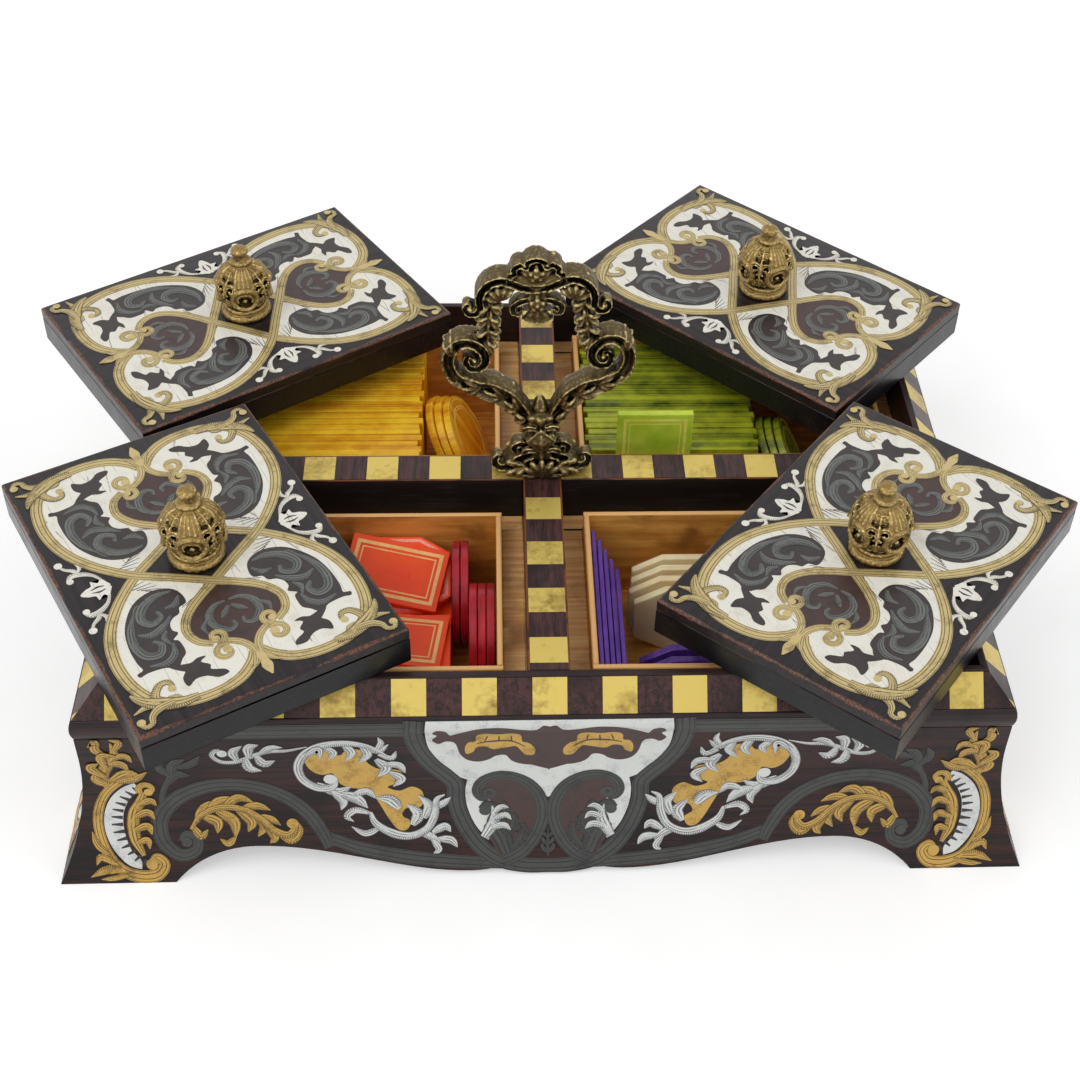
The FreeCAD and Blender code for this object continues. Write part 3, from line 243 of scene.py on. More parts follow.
class Shader:
    """One material's nodes, added and linked in short calls."""

    def __init__(self, name: str) -> None:
        """Starts an empty material.

        Args:
            name: The material's name.
        """
        self.made = bpy.data.materials.new(name)
        self.made.use_nodes = True
        self.tree = self.made.node_tree
        self.tree.nodes.clear()

    def node(self, kind: str, inputs: Optional[dict] = None, out: object = 0, **settings: object) -> Socket:
        """Adds a node.

        Args:
            kind: The node's type, without its ShaderNode prefix.
            inputs: Sockets by name or number, each linked or set to a value.
            out: Name or number of the output to hand back.
            **settings: The node's own options.

        Returns:
            The chosen output.
        """
        made = self.tree.nodes.new("ShaderNode" + kind)
        for key, value in settings.items():
            setattr(made, key, value)
        for key, value in (inputs or {}).items():
            if isinstance(value, Socket):
                self.tree.links.new(value, made.inputs[key])
            else:
                made.inputs[key].default_value = value
        return made.outputs[out]

    def math(self, operation: str, first: object, second: object = 0.0, third: object = 0.0) -> Socket:
        """Adds one sum, product or other step on numbers."""
        return self.node("Math", {0: first, 1: second, 2: third}, operation=operation)

    def place(self, scale: Place = (1, 1, 1), turn: float = 0.0) -> Socket:
        """Object coordinates in millimetres, turned about Z and then scaled along each axis.

        Args:
            scale: Pattern steps for each millimetre.
            turn: Turn in degrees that brings the piece's length onto X.

        Returns:
            The coordinates.
        """
        raw = self.node("TexCoord", out="Object")
        turned = self.node("Mapping", {"Vector": raw, "Rotation": (0, 0, math.radians(turn))})
        return self.node("Mapping", {"Vector": turned, "Scale": tuple(1000 * part for part in scale)})

    def noise(
        self, where: Socket, scale: float, detail: float = 3.0, rough: float = 0.55, distortion: float = 0.0,
    ) -> Socket:
        """Cloudy noise between about 0.3 and 0.7 at a scale of steps for each unit of the coordinates."""
        return self.node(
            "TexNoise",
            {"Vector": where, "Scale": scale, "Detail": detail, "Roughness": rough, "Distortion": distortion},
            out="Fac",
        )

    def ramp(self, value: object, low: float, first: object, high: float, second: object) -> Socket:
        """Colours a number from a first colour at a low value to a second one at a high value.

        Args:
            value: The number.
            low: Where the first colour ends.
            first: The first colour.
            high: Where the second colour begins.
            second: The second colour.

        Returns:
            The colour.
        """
        socket = self.node("ValToRGB", {"Fac": value}, out="Color")
        stops = socket.node.color_ramp.elements
        stops[0].position, stops[0].color = low, first
        stops[1].position, stops[1].color = high, second
        return socket

    def band(self, value: object, low: float, high: float) -> Socket:
        """A smooth rise from 0 at one value to 1 at another, which may lie below the first."""
        return self.node(
            "MapRange", {"Value": value, "From Min": low, "From Max": high}, interpolation_type="SMOOTHSTEP",
        )

    def stripe(self, value: object, place: float, half: float, full: float) -> Socket:
        """A stripe where a number is near a place: 0 beyond the half width, 1 nearer than the full part."""
        return self.band(self.math("ABSOLUTE", self.math("SUBTRACT", value, place)), half, full)

    def height(self) -> Socket:
        """The height above the floor in millimetres."""
        return self.node("SeparateXYZ", {"Vector": self.place()}, out="Z")

    def mix(self, share: object, first: object, second: object, blend: str = "MIX") -> Socket:
        """Blends two colours by a share.

        Args:
            share: The share of the second.
            first: The first colour.
            second: The second colour.
            blend: Blender's name for the way of blending.

        Returns:
            The colour.
        """
        made = self.tree.nodes.new("ShaderNodeMix")
        made.data_type = "RGBA"
        made.blend_type = blend
        for index, value in ((0, share), (6, first), (7, second)):
            if isinstance(value, Socket):
                self.tree.links.new(value, made.inputs[index])
            else:
                made.inputs[index].default_value = value
        return made.outputs[2]

    def bump(self, height: Socket, depth: float, strength: float = 1.0) -> Socket:
        """A relief of a depth in millimetres where the height goes from 0 to 1."""
        return self.node(
            "Bump", {"Height": height, "Distance": depth * MM, "Strength": strength}, out="Normal",
        )

    def finish(
        self, colour: object, roughness: object, normal: Optional[Socket] = None, **sockets: object,
    ) -> bpy.types.Material:
        """Ends the material in one principled shader.

        Args:
            colour: Base colour.
            roughness: Roughness.
            normal: Relief, if any.
            **sockets: Other sockets of the shader by name, with underscores for blanks.

        Returns:
            The material.
        """
        inputs = {"Base Color": colour, "Roughness": roughness}
        if normal is not None:
            inputs["Normal"] = normal
        inputs.update({key.replace("_", " "): value for key, value in sockets.items()})
        shader = self.node("BsdfPrincipled", inputs, out="BSDF")
        end = self.tree.nodes.new("ShaderNodeOutputMaterial")
        self.tree.links.new(shader, end.inputs["Surface"])
        return self.made


class Finish:
    """A finish that makes its material once."""
    _made: Dict[object, bpy.types.Material] = {}

    def material(self) -> bpy.types.Material:
        """The finish's material, made at its first use."""
        if self not in Finish._made:
            Finish._made[self] = self.build()
        return Finish._made[self]

    def build(self) -> bpy.types.Material:
        """Makes the material."""
        raise NotImplementedError


@dataclass(frozen=True)
class PolishedWood(Finish):
    """French-polished wood: fine streaks along the grain, pores, a worn bloom and fine crazing."""
    name: str
    dark: Colour
    light: Colour
    turn: float = 0.0
    across: float = 0.55
    lengthways: float = 0.02
    roughness: float = 0.3
    coat: float = 0.1

    def build(self) -> bpy.types.Material:
        """Streaks are noise stretched along the grain; pores are a finer noise that sinks the surface."""
        shader = Shader(self.name)
        grain = shader.place((self.lengthways, self.across, self.across), self.turn)
        streaks = shader.noise(grain, 1.0, 5.0, 0.6, 0.6)
        fine = shader.place((self.lengthways * 3, self.across * 5, self.across * 5), self.turn)
        pores = shader.noise(fine, 1.0, 2.0, 0.6)
        clouds = shader.noise(shader.place(), 0.05, 3.0)
        tone = shader.math("ADD", streaks, shader.math("MULTIPLY", shader.math("SUBTRACT", pores, 0.5), 0.7))
        body = shader.ramp(tone, 0.36, rgb(*self.dark), 0.62, rgb(*self.light))
        colour = shader.mix(shader.band(clouds, 0.45, 0.75), body, rgb(*(0.75 * part for part in self.dark)))
        relief = shader.bump(pores, 0.03, 0.5)
        rough = shader.math("MULTIPLY_ADD", clouds, 0.35, self.roughness - 0.1)
        return shader.finish(
            colour, rough, relief, Specular_IOR_Level=0.25, Coat_Weight=self.coat, Coat_Roughness=0.2,
        )


@dataclass(frozen=True)
class Ebonised(Finish):
    """Black-stained wood with a soft polish, its arrises at given heights rubbed back to reddish wood."""
    name: str
    base: Colour = (20, 19, 21)
    rubbed: Colour = (104, 62, 44)
    turn: float = 0.0
    edges: Tuple[float, ...] = ()
    roughness: float = 0.34

    def build(self) -> bpy.types.Material:
        """The rubbed bands lie round the given heights and are broken up by noise."""
        shader = Shader(self.name)
        clouds = shader.noise(shader.place(), 0.09, 4.0)
        scuffs = shader.noise(shader.place((0.05, 0.8, 0.8), self.turn), 1.0, 4.0, 0.65)
        colour = shader.mix(
            shader.band(scuffs, 0.52, 0.75), rgb(*self.base), rgb(*(part + 22 for part in self.base)),
        )
        height = shader.height()
        for level in self.edges:
            away = shader.math("ABSOLUTE", shader.math("SUBTRACT", height, level))
            reach = shader.math("MULTIPLY_ADD", clouds, 1.8, -0.75)
            worn = shader.band(shader.math("SUBTRACT", away, reach), 0.25, -0.15)
            colour = shader.mix(worn, colour, rgb(*self.rubbed))
        relief = shader.bump(scuffs, 0.02, 0.4)
        rough = shader.math("MULTIPLY_ADD", clouds, 0.3, self.roughness - 0.14)
        return shader.finish(
            colour, rough, relief, Specular_IOR_Level=0.26, Coat_Weight=0.06, Coat_Roughness=0.2,
        )


@dataclass(frozen=True)
class PlainWood(Finish):
    """Plain stained wood inside the box, pale where a height is passed."""
    name: str
    dark: Colour
    light: Colour
    pale: Colour = (232, 176, 112)
    pale_above: float = 1000.0
    turn: float = 0.0

    def build(self) -> bpy.types.Material:
        """Grain as streaks along the piece, with blotches of old polish."""
        shader = Shader(self.name)
        grain = shader.noise(shader.place((0.03, 0.6, 0.25), self.turn), 1.0, 5.0, 0.6, 0.3)
        blotches = shader.noise(shader.place(), 0.06, 4.0)
        colour = shader.ramp(grain, 0.35, rgb(*self.dark), 0.65, rgb(*self.light))
        colour = shader.mix(
            shader.band(blotches, 0.5, 0.75), colour, rgb(*(0.8 * part for part in self.dark)),
        )
        height = shader.height()
        colour = shader.mix(
            shader.band(height, self.pale_above - 0.15, self.pale_above + 0.05), colour, rgb(*self.pale),
        )
        return shader.finish(colour, 0.5, shader.bump(grain, 0.05, 0.5))


@dataclass(frozen=True)
class SheetBrass(Finish):
    """Rubbed sheet brass let into wood, with scratches, tarnish and darker or brighter squares."""
    name: str
    light: Colour = (224, 198, 104)
    dark: Colour = (158, 130, 60)
    metallic: float = 0.45

    def build(self) -> bpy.types.Material:
        """A noise too coarse to change across a square sets its tone; scratches are long thin noise."""
        shader = Shader(self.name)
        where = shader.place()
        squares = shader.noise(where, 0.045, 1.0)
        tarnish = shader.noise(where, 0.35, 5.0, 0.65)
        scratches = shader.noise(shader.place((0.12, 3, 3), 25.0), 1.0, 2.0, 0.6)
        tone = shader.math("MULTIPLY_ADD", squares, 0.8, shader.math("MULTIPLY", tarnish, 0.55))
        colour = shader.ramp(tone, 0.48, rgb(*self.dark), 0.7, rgb(*self.light))
        rough = shader.math("MULTIPLY_ADD", tarnish, 0.5, 0.12)
        return shader.finish(colour, rough, shader.bump(scratches, 0.015, 0.5), Metallic=self.metallic)


class Cut(Enum):
    """How the graver worked an inlaid shape."""
    STRAP = "strap"
    LEAF = "leaf"
    LOBE = "lobe"
    FIELD = "field"


@dataclass(frozen=True)
class Inlay(Finish):
    """Engraved metal or bone inlay. The surface numbers are the millimetres along and the share across."""
    name: str
    light: Colour
    dark: Colour
    line: Colour
    cut: Cut = Cut.FIELD
    metallic: float = 0.0
    roughness: float = 0.38
    cracks: float = 0.0
    speckle: float = 0.5

    def build(self) -> bpy.types.Material:
        """Lines run along straps, midribs and veins along leaves, folds along lobes, cracks over fields."""
        shader = Shader(self.name)
        where = shader.place()
        clouds = shader.noise(where, 0.16, 4.0, 0.6)
        grit = shader.noise(where, 1.6, 3.0, 0.7)
        tone = shader.math(
            "MULTIPLY_ADD", grit, self.speckle, shader.math("MULTIPLY", clouds, 1.0 - self.speckle * 0.5),
        )
        colour = shader.ramp(tone, 0.42, rgb(*self.dark), 0.62, rgb(*self.light))
        marks = shader.node("UVMap", out="UV", uv_map="Surface")
        split = shader.node("SeparateXYZ", {"Vector": marks}, out="X").node
        length, across = split.outputs["X"], shader.math("ABSOLUTE", split.outputs["Y"])
        lines = shader.band(
            shader.math("PINGPONG", shader.math("MULTIPLY_ADD", across, 0.35, length), 0.35), 0.24, 0.1,
        )
        shadow = shader.math("MULTIPLY", shader.band(split.outputs["Y"], 0.1, -0.7), lines)
        engraved = None
        if self.cut is Cut.STRAP:
            outer, inner = shader.stripe(across, 0.86, 0.09, 0.02), shader.stripe(across, 0.38, 0.11, 0.03)
            engraved = shader.math("MAXIMUM", outer, inner)
        elif self.cut is Cut.LEAF:
            rib = shader.band(across, 0.16, 0.03)
            slant = shader.math("MULTIPLY_ADD", across, -1.6, shader.math("MULTIPLY", length, 0.8))
            vein = shader.stripe(shader.math("FRACT", slant), 0.5, 0.2, 0.06)
            vein = shader.math("MULTIPLY", vein, shader.band(across, 0.95, 0.7))
            engraved = shader.math(
                "MAXIMUM", shader.math("MAXIMUM", rib, shadow), shader.math("MULTIPLY", vein, 0.8),
            )
        elif self.cut is Cut.LOBE:
            edge = shader.band(across, 0.72, 0.93)
            fold = shader.math(
                "MULTIPLY", shader.stripe(across, 0.3, 0.17, 0.04), shader.band(clouds, 0.4, 0.55),
            )
            engraved = shader.math("MAXIMUM", shader.math("MAXIMUM", edge, shadow), fold)
        if self.cracks:
            grain = shader.place((0.012, 0.16, 0.16), 62.0)
            edge = shader.node(
                "TexVoronoi", {"Vector": grain, "Scale": 1}, out="Distance", feature="DISTANCE_TO_EDGE",
            )
            broken = shader.band(clouds, 0.44, 0.56)
            crack = shader.math(
                "MULTIPLY", shader.math("MULTIPLY", shader.band(edge, 0.014, 0.004), self.cracks), broken,
            )
            engraved = crack if engraved is None else shader.math("MAXIMUM", engraved, crack)
        normal = None
        if engraved is not None:
            colour = shader.mix(shader.math("MULTIPLY", engraved, 0.85), colour, rgb(*self.line))
            normal = shader.bump(shader.math("SUBTRACT", 1.0, engraved), 0.06, 0.6)
        rough = shader.math("MULTIPLY_ADD", grit, 0.4, self.roughness - 0.2)
        return shader.finish(colour, rough, normal, Metallic=self.metallic)


@dataclass(frozen=True)
class CastBronze(Finish):
    """Cast gilt bronze: bright on its edges, as rubbed wear and painted highlight; dull between; brown-black
    in the hollows, as painted shade with grime; pitted all over.
    """
    name: str
    # bright: edge colour, a painted highlight together with rubbed wear
    bright: Colour = (214, 194, 136)
    mid: Colour = (92, 76, 44)
    # deep: painted shade in the hollows, together with grime
    deep: Colour = (18, 16, 12)
    # reach: millimetres over which ambient occlusion paints shade into the hollows
    reach: float = 3.0
    crest: float = 0.53

    def build(self) -> bpy.types.Material:
        """Painted shade darkens the hollows, where nearby metal hides the sky, broken by grime noise; a
        painted highlight with wear brightens the edges, where the surface turns sharply outwards.
        """
        shader = Shader(self.name)
        where = shader.place()
        # Ambient occlusion: how much sky a point sees, used below to paint shade into the hollows
        open_sky = shader.node(
            "AmbientOcclusion", {"Distance": self.reach * MM}, out="AO", samples=8, only_local=True,
        )
        turning = shader.node("NewGeometry", out="Pointiness")
        worn = shader.noise(where, 0.4, 5.0, 0.65)
        pits = shader.noise(where, 2.0, 4.0, 0.7)
        # Painted shade: the colour falls to deep where occlusion hides the sky, broken by grime noise
        shade_and_grime = shader.math("MULTIPLY_ADD", shader.math("SUBTRACT", worn, 0.5), 0.7, open_sky)
        colour = shader.mix(shader.band(shade_and_grime, 0.42, 0.9), rgb(*self.deep), rgb(*self.mid))
        # Painted highlight with wear: sharp outward edges turn bright, but not inside the hollows
        rubbed = shader.band(
            shader.math("MULTIPLY_ADD", shader.math("SUBTRACT", worn, 0.5), 0.06, turning), self.crest - 0.03,
            self.crest + 0.045,
        )
        colour = shader.mix(
            shader.math("MULTIPLY", rubbed, shader.band(open_sky, 0.35, 0.75)), colour, rgb(*self.bright),
        )
        rough = shader.math("MULTIPLY_ADD", pits, 0.5, 0.16)
        return shader.finish(colour, rough, shader.bump(pits, 0.16, 0.6), Metallic=0.8)


@dataclass(frozen=True)
class Counter(Finish):
    """Stained, slightly clear counters: each one of a row differs, and light soaks into them."""
    name: str
    light: Colour
    dark: Colour
    row: Place = (0, 0, 0)
    clear: float = 0.25

    def build(self) -> bpy.types.Material:
        """A noise along the row's direction picks each counter's tone, and clouds mottle it."""
        shader = Shader(self.name)
        steps = shader.noise(shader.place(self.row), 1.0, 4.0, 0.75)
        clouds = shader.noise(shader.place(), 0.12, 4.0, 0.6)
        tone = shader.math("MULTIPLY_ADD", clouds, 0.35, shader.math("MULTIPLY", steps, 0.65))
        colour = shader.ramp(tone, 0.36, rgb(*self.dark), 0.6, rgb(*self.light))
        rough = shader.math("MULTIPLY_ADD", clouds, 0.3, 0.18)
        scuffs = shader.noise(shader.place(), 1.1, 3.0, 0.7)
        return shader.finish(
            colour, rough, shader.bump(scuffs, 0.02, 0.4), Specular_IOR_Level=0.35,
            Subsurface_Weight=self.clear, Subsurface_Scale=0.002, Subsurface_Radius=(1, 0.6, 0.3),
        )


@dataclass(frozen=True)
class Print(Finish):
    """Opaque lines printed on a counter, worn thin in places."""
    name: str
    light: Colour
    dark: Colour

    def build(self) -> bpy.types.Material:
        """A fine noise thins the ink, a coarse one fades it."""
        shader = Shader(self.name)
        wear = shader.noise(shader.place(), 0.9, 4.0, 0.7)
        fade = shader.noise(shader.place(), 0.1, 2.0)
        tone = shader.math("MULTIPLY_ADD", fade, 0.5, shader.math("MULTIPLY", wear, 0.5))
        colour = shader.ramp(tone, 0.38, rgb(*self.dark), 0.55, rgb(*self.light))
        return shader.finish(
            colour, shader.math("MULTIPLY_ADD", wear, 0.4, 0.25), shader.bump(wear, 0.01, 0.4),
        )


@dataclass(frozen=True)
class Iron(Finish):
    """Dull iron of screws and nuts, with a little rust."""
    name: str = "dull_iron"

    def build(self) -> bpy.types.Material:
        """Rust spots are the peaks of a fine noise."""
        shader = Shader(self.name)
        spots = shader.noise(shader.place(), 0.9, 5.0, 0.7)
        colour = shader.mix(shader.band(spots, 0.5, 0.7), rgb(120, 116, 110), rgb(92, 60, 40))
        return shader.finish(
            colour, shader.math("MULTIPLY_ADD", spots, 0.5, 0.25), shader.bump(spots, 0.05, 0.5),
            Metallic=0.8,
        )


# ---------------------------------------------------------------- inlay drawings

class Stuff(Enum):
    """What an inlaid shape is cut from."""
    BONE = "bone"
    BRASS = "brass"
    PEWTER = "pewter"
    TIN = "tin"
    EBONY = "ebony"
    ROSEWOOD = "rosewood"


Finishes = Dict[Tuple[Stuff, Cut], Finish]


@dataclass
class Drawing:
    """Flat shapes of inlay gathered by stuff and cut, each drawn once and repeated by mirroring."""
    signs: Sequence[Tuple[int, int]]
    strip: float = 0.0
    creases: Tuple[float, ...] = ()
    shift: float = 0.0
    stretch: float = 1.0
    layer: float = 0.05
    step: float = 0.0009
    steps: int = 50
    laid: int = 0
    sheets: Dict[Tuple[Stuff, Cut], Soup] = field(default_factory=dict)

    def _lay(
        self, stuff: Stuff, cut: Cut, level: int, flat: np.ndarray, faces: List[List[int]], marks: np.ndarray,
    ) -> None:
        """Adds a flat shape for each mirroring, its faces turned so that they look up.

        Each shape lies a hair above the last of its layer, so no two are in one plane.

        Args:
            stuff: What it is cut from.
            cut: How it is engraved.
            level: How many layers it lies above the ground.
            flat: Points as rows of two.
            faces: Point numbers of its faces.
            marks: Surface numbers of its points.
        """
        flat = flat * (self.stretch, 1) + (self.shift, 0)
        upward = self._area(flat, faces[len(faces) // 2]) > 0
        sheet = self.sheets.setdefault((stuff, cut), Soup())
        for sign_u, sign_v in self.signs:
            self.laid += 1
            lift = self.layer * level + self.step * (self.laid % self.steps)
            points = np.column_stack([flat[:, 0] * sign_u, flat[:, 1] * sign_v, np.full(len(flat), lift)])
            keep = upward == (sign_u * sign_v > 0)
            sheet.add(points, faces if keep else [face[::-1] for face in faces], marks)

    def ribbon(
        self, stuff: Stuff, points: Points, widths: Sequence[float], level: int, cut: Cut = Cut.STRAP,
        teeth: float = 0.0,
    ) -> None:
        """Lays a band along a smooth line: line(t) + normal(t) * width(t) / 2 * share, share from -1 to 1.

        With teeth, the width swells over each tooth and drops at its end, and the edge leans forward there.

        Args:
            stuff: What it is cut from.
            points: Points that its middle line passes.
            widths: Full widths from start to end.
            level: Its layer.
            cut: How it is engraved.
            teeth: Length of a tooth along the line, or 0 for a plain edge.
        """
        line = smooth_line(points, SPAN)
        if teeth:
            run = travelled(line)
            wanted = np.linspace(0, run[-1], max(12, int(run[-1] / teeth * 7)))
            line = np.column_stack([np.interp(wanted, run, line[:, axis]) for axis in (0, 1)])
        run = travelled(line)
        half = spread(widths, len(line)) / 2
        way = along(line)
        side = np.column_stack([-way[:, 1], way[:, 0]])
        lean = np.zeros(len(line))
        if teeth:
            notch, swell, rise, start = 0.55, 0.45, 0.62, 0.05
            phase = (run / teeth) % 1.0
            lean = half * notch * phase
            half = half * (notch + swell * np.sin(np.pi * np.minimum(phase * rise + start, 1.0)))
        shares = np.array([-1, -0.5, 0, 0.5, 1])
        grid = (
            line[:, None, :]
            + side[:, None, :] * (half[:, None] * shares)[:, :, None]
            + way[:, None, :] * (lean[:, None] * np.abs(shares))[:, :, None]
        )
        marks = np.stack(np.broadcast_arrays(run[:, None], shares[None, :]), axis=2)
        faces = grid_faces(len(line), len(shares)).tolist()
        self._lay(stuff, cut, level, grid.reshape(-1, 2), faces, marks.reshape(-1, 2))

    def strokes(self, stuff: Stuff, level: int, *rows: Points) -> None:
        """Lays lobes one after another, each row a lobe's full widths and then its points."""
        for widths, *points in rows:
            self.ribbon(stuff, points, widths, level, Cut.LOBE)

    def lobes(
        self, stuff: Stuff, level: int, shares: Sequence[float], tip: float, *rows: Sequence[float],
    ) -> None:
        """Lays lobes of one form.

        Args:
            stuff: What they are cut from.
            level: Their layer.
            shares: The form from the root on, as shares of the width.
            tip: Width at the end.
            *rows: The width of each, then its points, across and up in turn.
        """
        for width, *numbers in rows:
            widths = (*(width * share for share in shares), tip)
            self.ribbon(stuff, np.reshape(numbers, (-1, 2)), widths, level, Cut.LOBE)

    def leaf(self, stuff: Stuff, points: Points, width: float, level: int) -> None:
        """Lays a toothed leaf that swells a third of the way along and ends in a point."""
        widths = (width * 0.35, width * 0.9, width, width * 0.85, width * 0.6, 0.15)
        self.ribbon(stuff, points, widths, level, Cut.LEAF, 2.2)

    def frond(self, stuff: Stuff, points: Points, reach: float, lobes: int, level: int) -> None:
        """Lays half an acanthus: a rib with round lobes on its left that bend forward and shrink to the tip.

        Args:
            stuff: What it is cut from.
            points: Points that its rib passes.
            reach: Length of its longest lobe.
            lobes: How many lobes.
            level: Its layer.
        """
        line = smooth_line(points, 8)
        run, way = travelled(line), along(line)
        first, fanned, shrink = 0.1, 0.74, 0.55
        self.lobes(stuff, level + 1, (0.2, 0.34, 0.3), 0.3, (reach, *np.ravel(points)))
        for index in range(lobes):
            share = first + fanned * (index + 0.25) / lobes
            reached = share * run[-1]
            root, ahead = (
                np.array([np.interp(reached, run, part[:, axis]) for axis in (0, 1)]) for part in (line, way)
            )
            left = np.array([-ahead[1], ahead[0]])
            size = reach * (1 - shrink * share)
            shape = ((-0.1, 0), (0.3, 0.42), (0.72, 0.62), (1.02, 0.5))
            bend = [root + size * (forward * ahead + sideways * left) for forward, sideways in shape]
            self.lobes(stuff, level, (0.34, 0.5, 0.56, 0.5, 0.3), 0.1, (size, *np.ravel(bend)))

    def curl(
        self, stuff: Stuff, centre: Spot, radii: Spot, angles: Spot, widths: Sequence[float], level: int,
    ) -> None:
        """Lays a spiral band that ends in a round eye: its radius and its angle both run evenly.

        Args:
            stuff: What it is cut from.
            centre: Its middle.
            radii: First and last radius.
            angles: First and last angle in degrees.
            widths: Full widths from start to end.
            level: Its layer.
        """
        turn, reach = np.radians(np.linspace(*angles, 9)), np.linspace(*radii, 9)
        turns = list(zip(centre[0] + reach * np.cos(turn), centre[1] + reach * np.sin(turn)))
        self.ribbon(stuff, turns, widths, level)
        self.dot(stuff, turns[-1], widths[-1] * 0.85, level + 1)

    def field(self, stuff: Stuff, level: int, per_span: int, outline: Points) -> None:
        """Lays a shape with a smooth closed outline, in triangles, cut in strips where it has to bend.

        Args:
            stuff: What it is cut from.
            level: Its layer.
            per_span: Samples between two points.
            outline: Points round it.
        """
        edge = smooth_line(outline, per_span, closed=True)
        work = bmesh.new()
        corners = [work.verts.new((u, v, 0)) for u, v in edge]
        work.faces.new(corners)
        bmesh.ops.triangulate(work, faces=work.faces[:])
        if self.strip:
            low, high = edge[:, 1].min(), edge[:, 1].max()
            for height in (
                *np.arange(math.ceil(low / self.strip) * self.strip, high, self.strip), *self.creases,
            ):
                parts = work.verts[:] + work.edges[:] + work.faces[:]
                bmesh.ops.bisect_plane(
                    work, geom=parts, dist=1e-5, plane_co=(0, height, 0), plane_no=(0, 1, 0),
                )
            bmesh.ops.triangulate(work, faces=work.faces[:])
        work.verts.index_update()
        flat = np.array([corner.co[:2] for corner in work.verts])
        faces = [[corner.index for corner in face.verts] for face in work.faces]
        work.free()
        faces = [face if self._area(flat, face) > 0 else face[::-1] for face in faces]
        self._lay(stuff, Cut.FIELD, level, flat, faces, flat)

    @staticmethod
    def _area(flat: np.ndarray, face: List[int]) -> float:
        """Twice the signed area of a flat face.

        Args:
            flat: Points as rows of two.
            face: The face's point numbers.

        Returns:
            The area, above zero where the points run counter-clockwise.
        """
        corners = flat[face]
        following = np.roll(corners, -1, axis=0)
        return float(np.sum(corners[:, 0] * following[:, 1] - following[:, 0] * corners[:, 1]))

    def loop(self, stuff: Stuff, corners: Points, inset: float, width: float, level: int) -> None:
        """Lays a mitred line inside a convex outline.

        A corner moves in by inset * (n + m) / (1 + n.m) for the inward normals n and m that meet there.

        Args:
            stuff: What it is made of.
            corners: The outline, counter-clockwise.
            inset: From the outline to the line's outer edge.
            width: The line's width.
            level: Its layer.
        """
        outline = np.asarray(corners, float)
        way = np.roll(outline, -1, axis=0) - outline
        way /= np.linalg.norm(way, axis=1, keepdims=True)
        inward = np.column_stack([-way[:, 1], way[:, 0]])
        before = np.roll(inward, 1, axis=0)
        mitre = (inward + before) / (1 + np.sum(inward * before, axis=1, keepdims=True))
        flat = np.vstack([outline + mitre * inset, outline + mitre * (inset + width)])
        marks = np.column_stack([np.zeros(len(flat)), np.repeat([-0.5, 0.5], len(outline))])
        self._lay(
            stuff, Cut.FIELD, level, flat, grid_faces(2, len(outline), wrap=True)[:, ::-1].tolist(), marks,
        )

    def dot(self, stuff: Stuff, centre: Spot, radius: float, level: int) -> None:
        """Lays a small round.

        Args:
            stuff: What it is cut from.
            centre: Its middle.
            radius: Its radius.
            level: Its layer.
        """
        turn = np.radians(np.arange(0, 360, 45))
        ring = np.column_stack([centre[0] + radius * np.cos(turn), centre[1] + radius * np.sin(turn)])
        self.field(stuff, level, 2, ring)

    def pieces(
        self, suffix: str, body: str, place: Bend, finishes: Finishes, slot: str, thickness: float = 0.2,
    ) -> None:
        """Makes one thin closed piece of each stuff and cut.

        Args:
            suffix: End of the pieces' names.
            body: Body that they move with.
            place: Turns rows of (along, up, lift) into rows of X, Y and Z.
            finishes: The finish of each stuff and cut.
            slot: The record's material slot.
            thickness: How deep each goes into the ground, in millimetres.
        """
        for (stuff, cut), sheet in self.sheets.items():
            placed = Soup(
                [place(np.vstack(sheet.points))], sheet.faces, [np.vstack(sheet.marks)], sheet.count,
            )
            mesh = placed.mesh(f"{stuff.value}_{cut.value}_{suffix}")
            made = piece(mesh.name, mesh, finishes[(stuff, cut)], body, slot=slot)
            wall = made.modifiers.new("thickness", "SOLIDIFY")
            wall.thickness = thickness * MM
            wall.offset = -1.0


def inlay_finishes(
    prefix: str, brass: Tuple[Colour, Colour], pewter: Tuple[Colour, Colour], metallic: float,
) -> Finishes:
    """The finishes of one set of inlay.

    Args:
        prefix: Start of the materials' names.
        brass: Light and dark tone of its brass.
        pewter: Light and dark tone of its pewter.
        metallic: How metallic its brass looks.

    Returns:
        A finish for each stuff and cut.
    """
    tones = {
        Stuff.BONE: ((240, 237, 226), (222, 216, 200), (120, 110, 96), 0, 0.42, 0.8),
        Stuff.BRASS: (*brass, (52, 38, 20), metallic, 0.38, 0),
        Stuff.PEWTER: (*pewter, (22, 22, 24), 0.2, 0.44, 0),
        Stuff.TIN: ((224, 226, 222), (176, 180, 180), (64, 66, 72), 0.2, 0.36, 0),
        Stuff.EBONY: ((52, 42, 41), (32, 27, 29), (14, 12, 14), 0, 0.36, 0.5),
        Stuff.ROSEWOOD: ((66, 42, 38), (38, 27, 28), (18, 11, 12), 0, 0.36, 0.6),
    }
    made: Finishes = {}
    for (stuff, (*tone, shine, rough, cracks)), cut in product(tones.items(), Cut):
        name = f"{prefix}_{stuff.value}_{cut.value}"
        made[(stuff, cut)] = Inlay(name, *tone, cut, shine, rough, cracks if cut is Cut.FIELD else 0.0)
    return made


# ---------------------------------------------------------------- the case

@dataclass(frozen=True)
class Side:
    """One side of the case."""
    name: str
    turn: float
    half_length: float
    reach: float


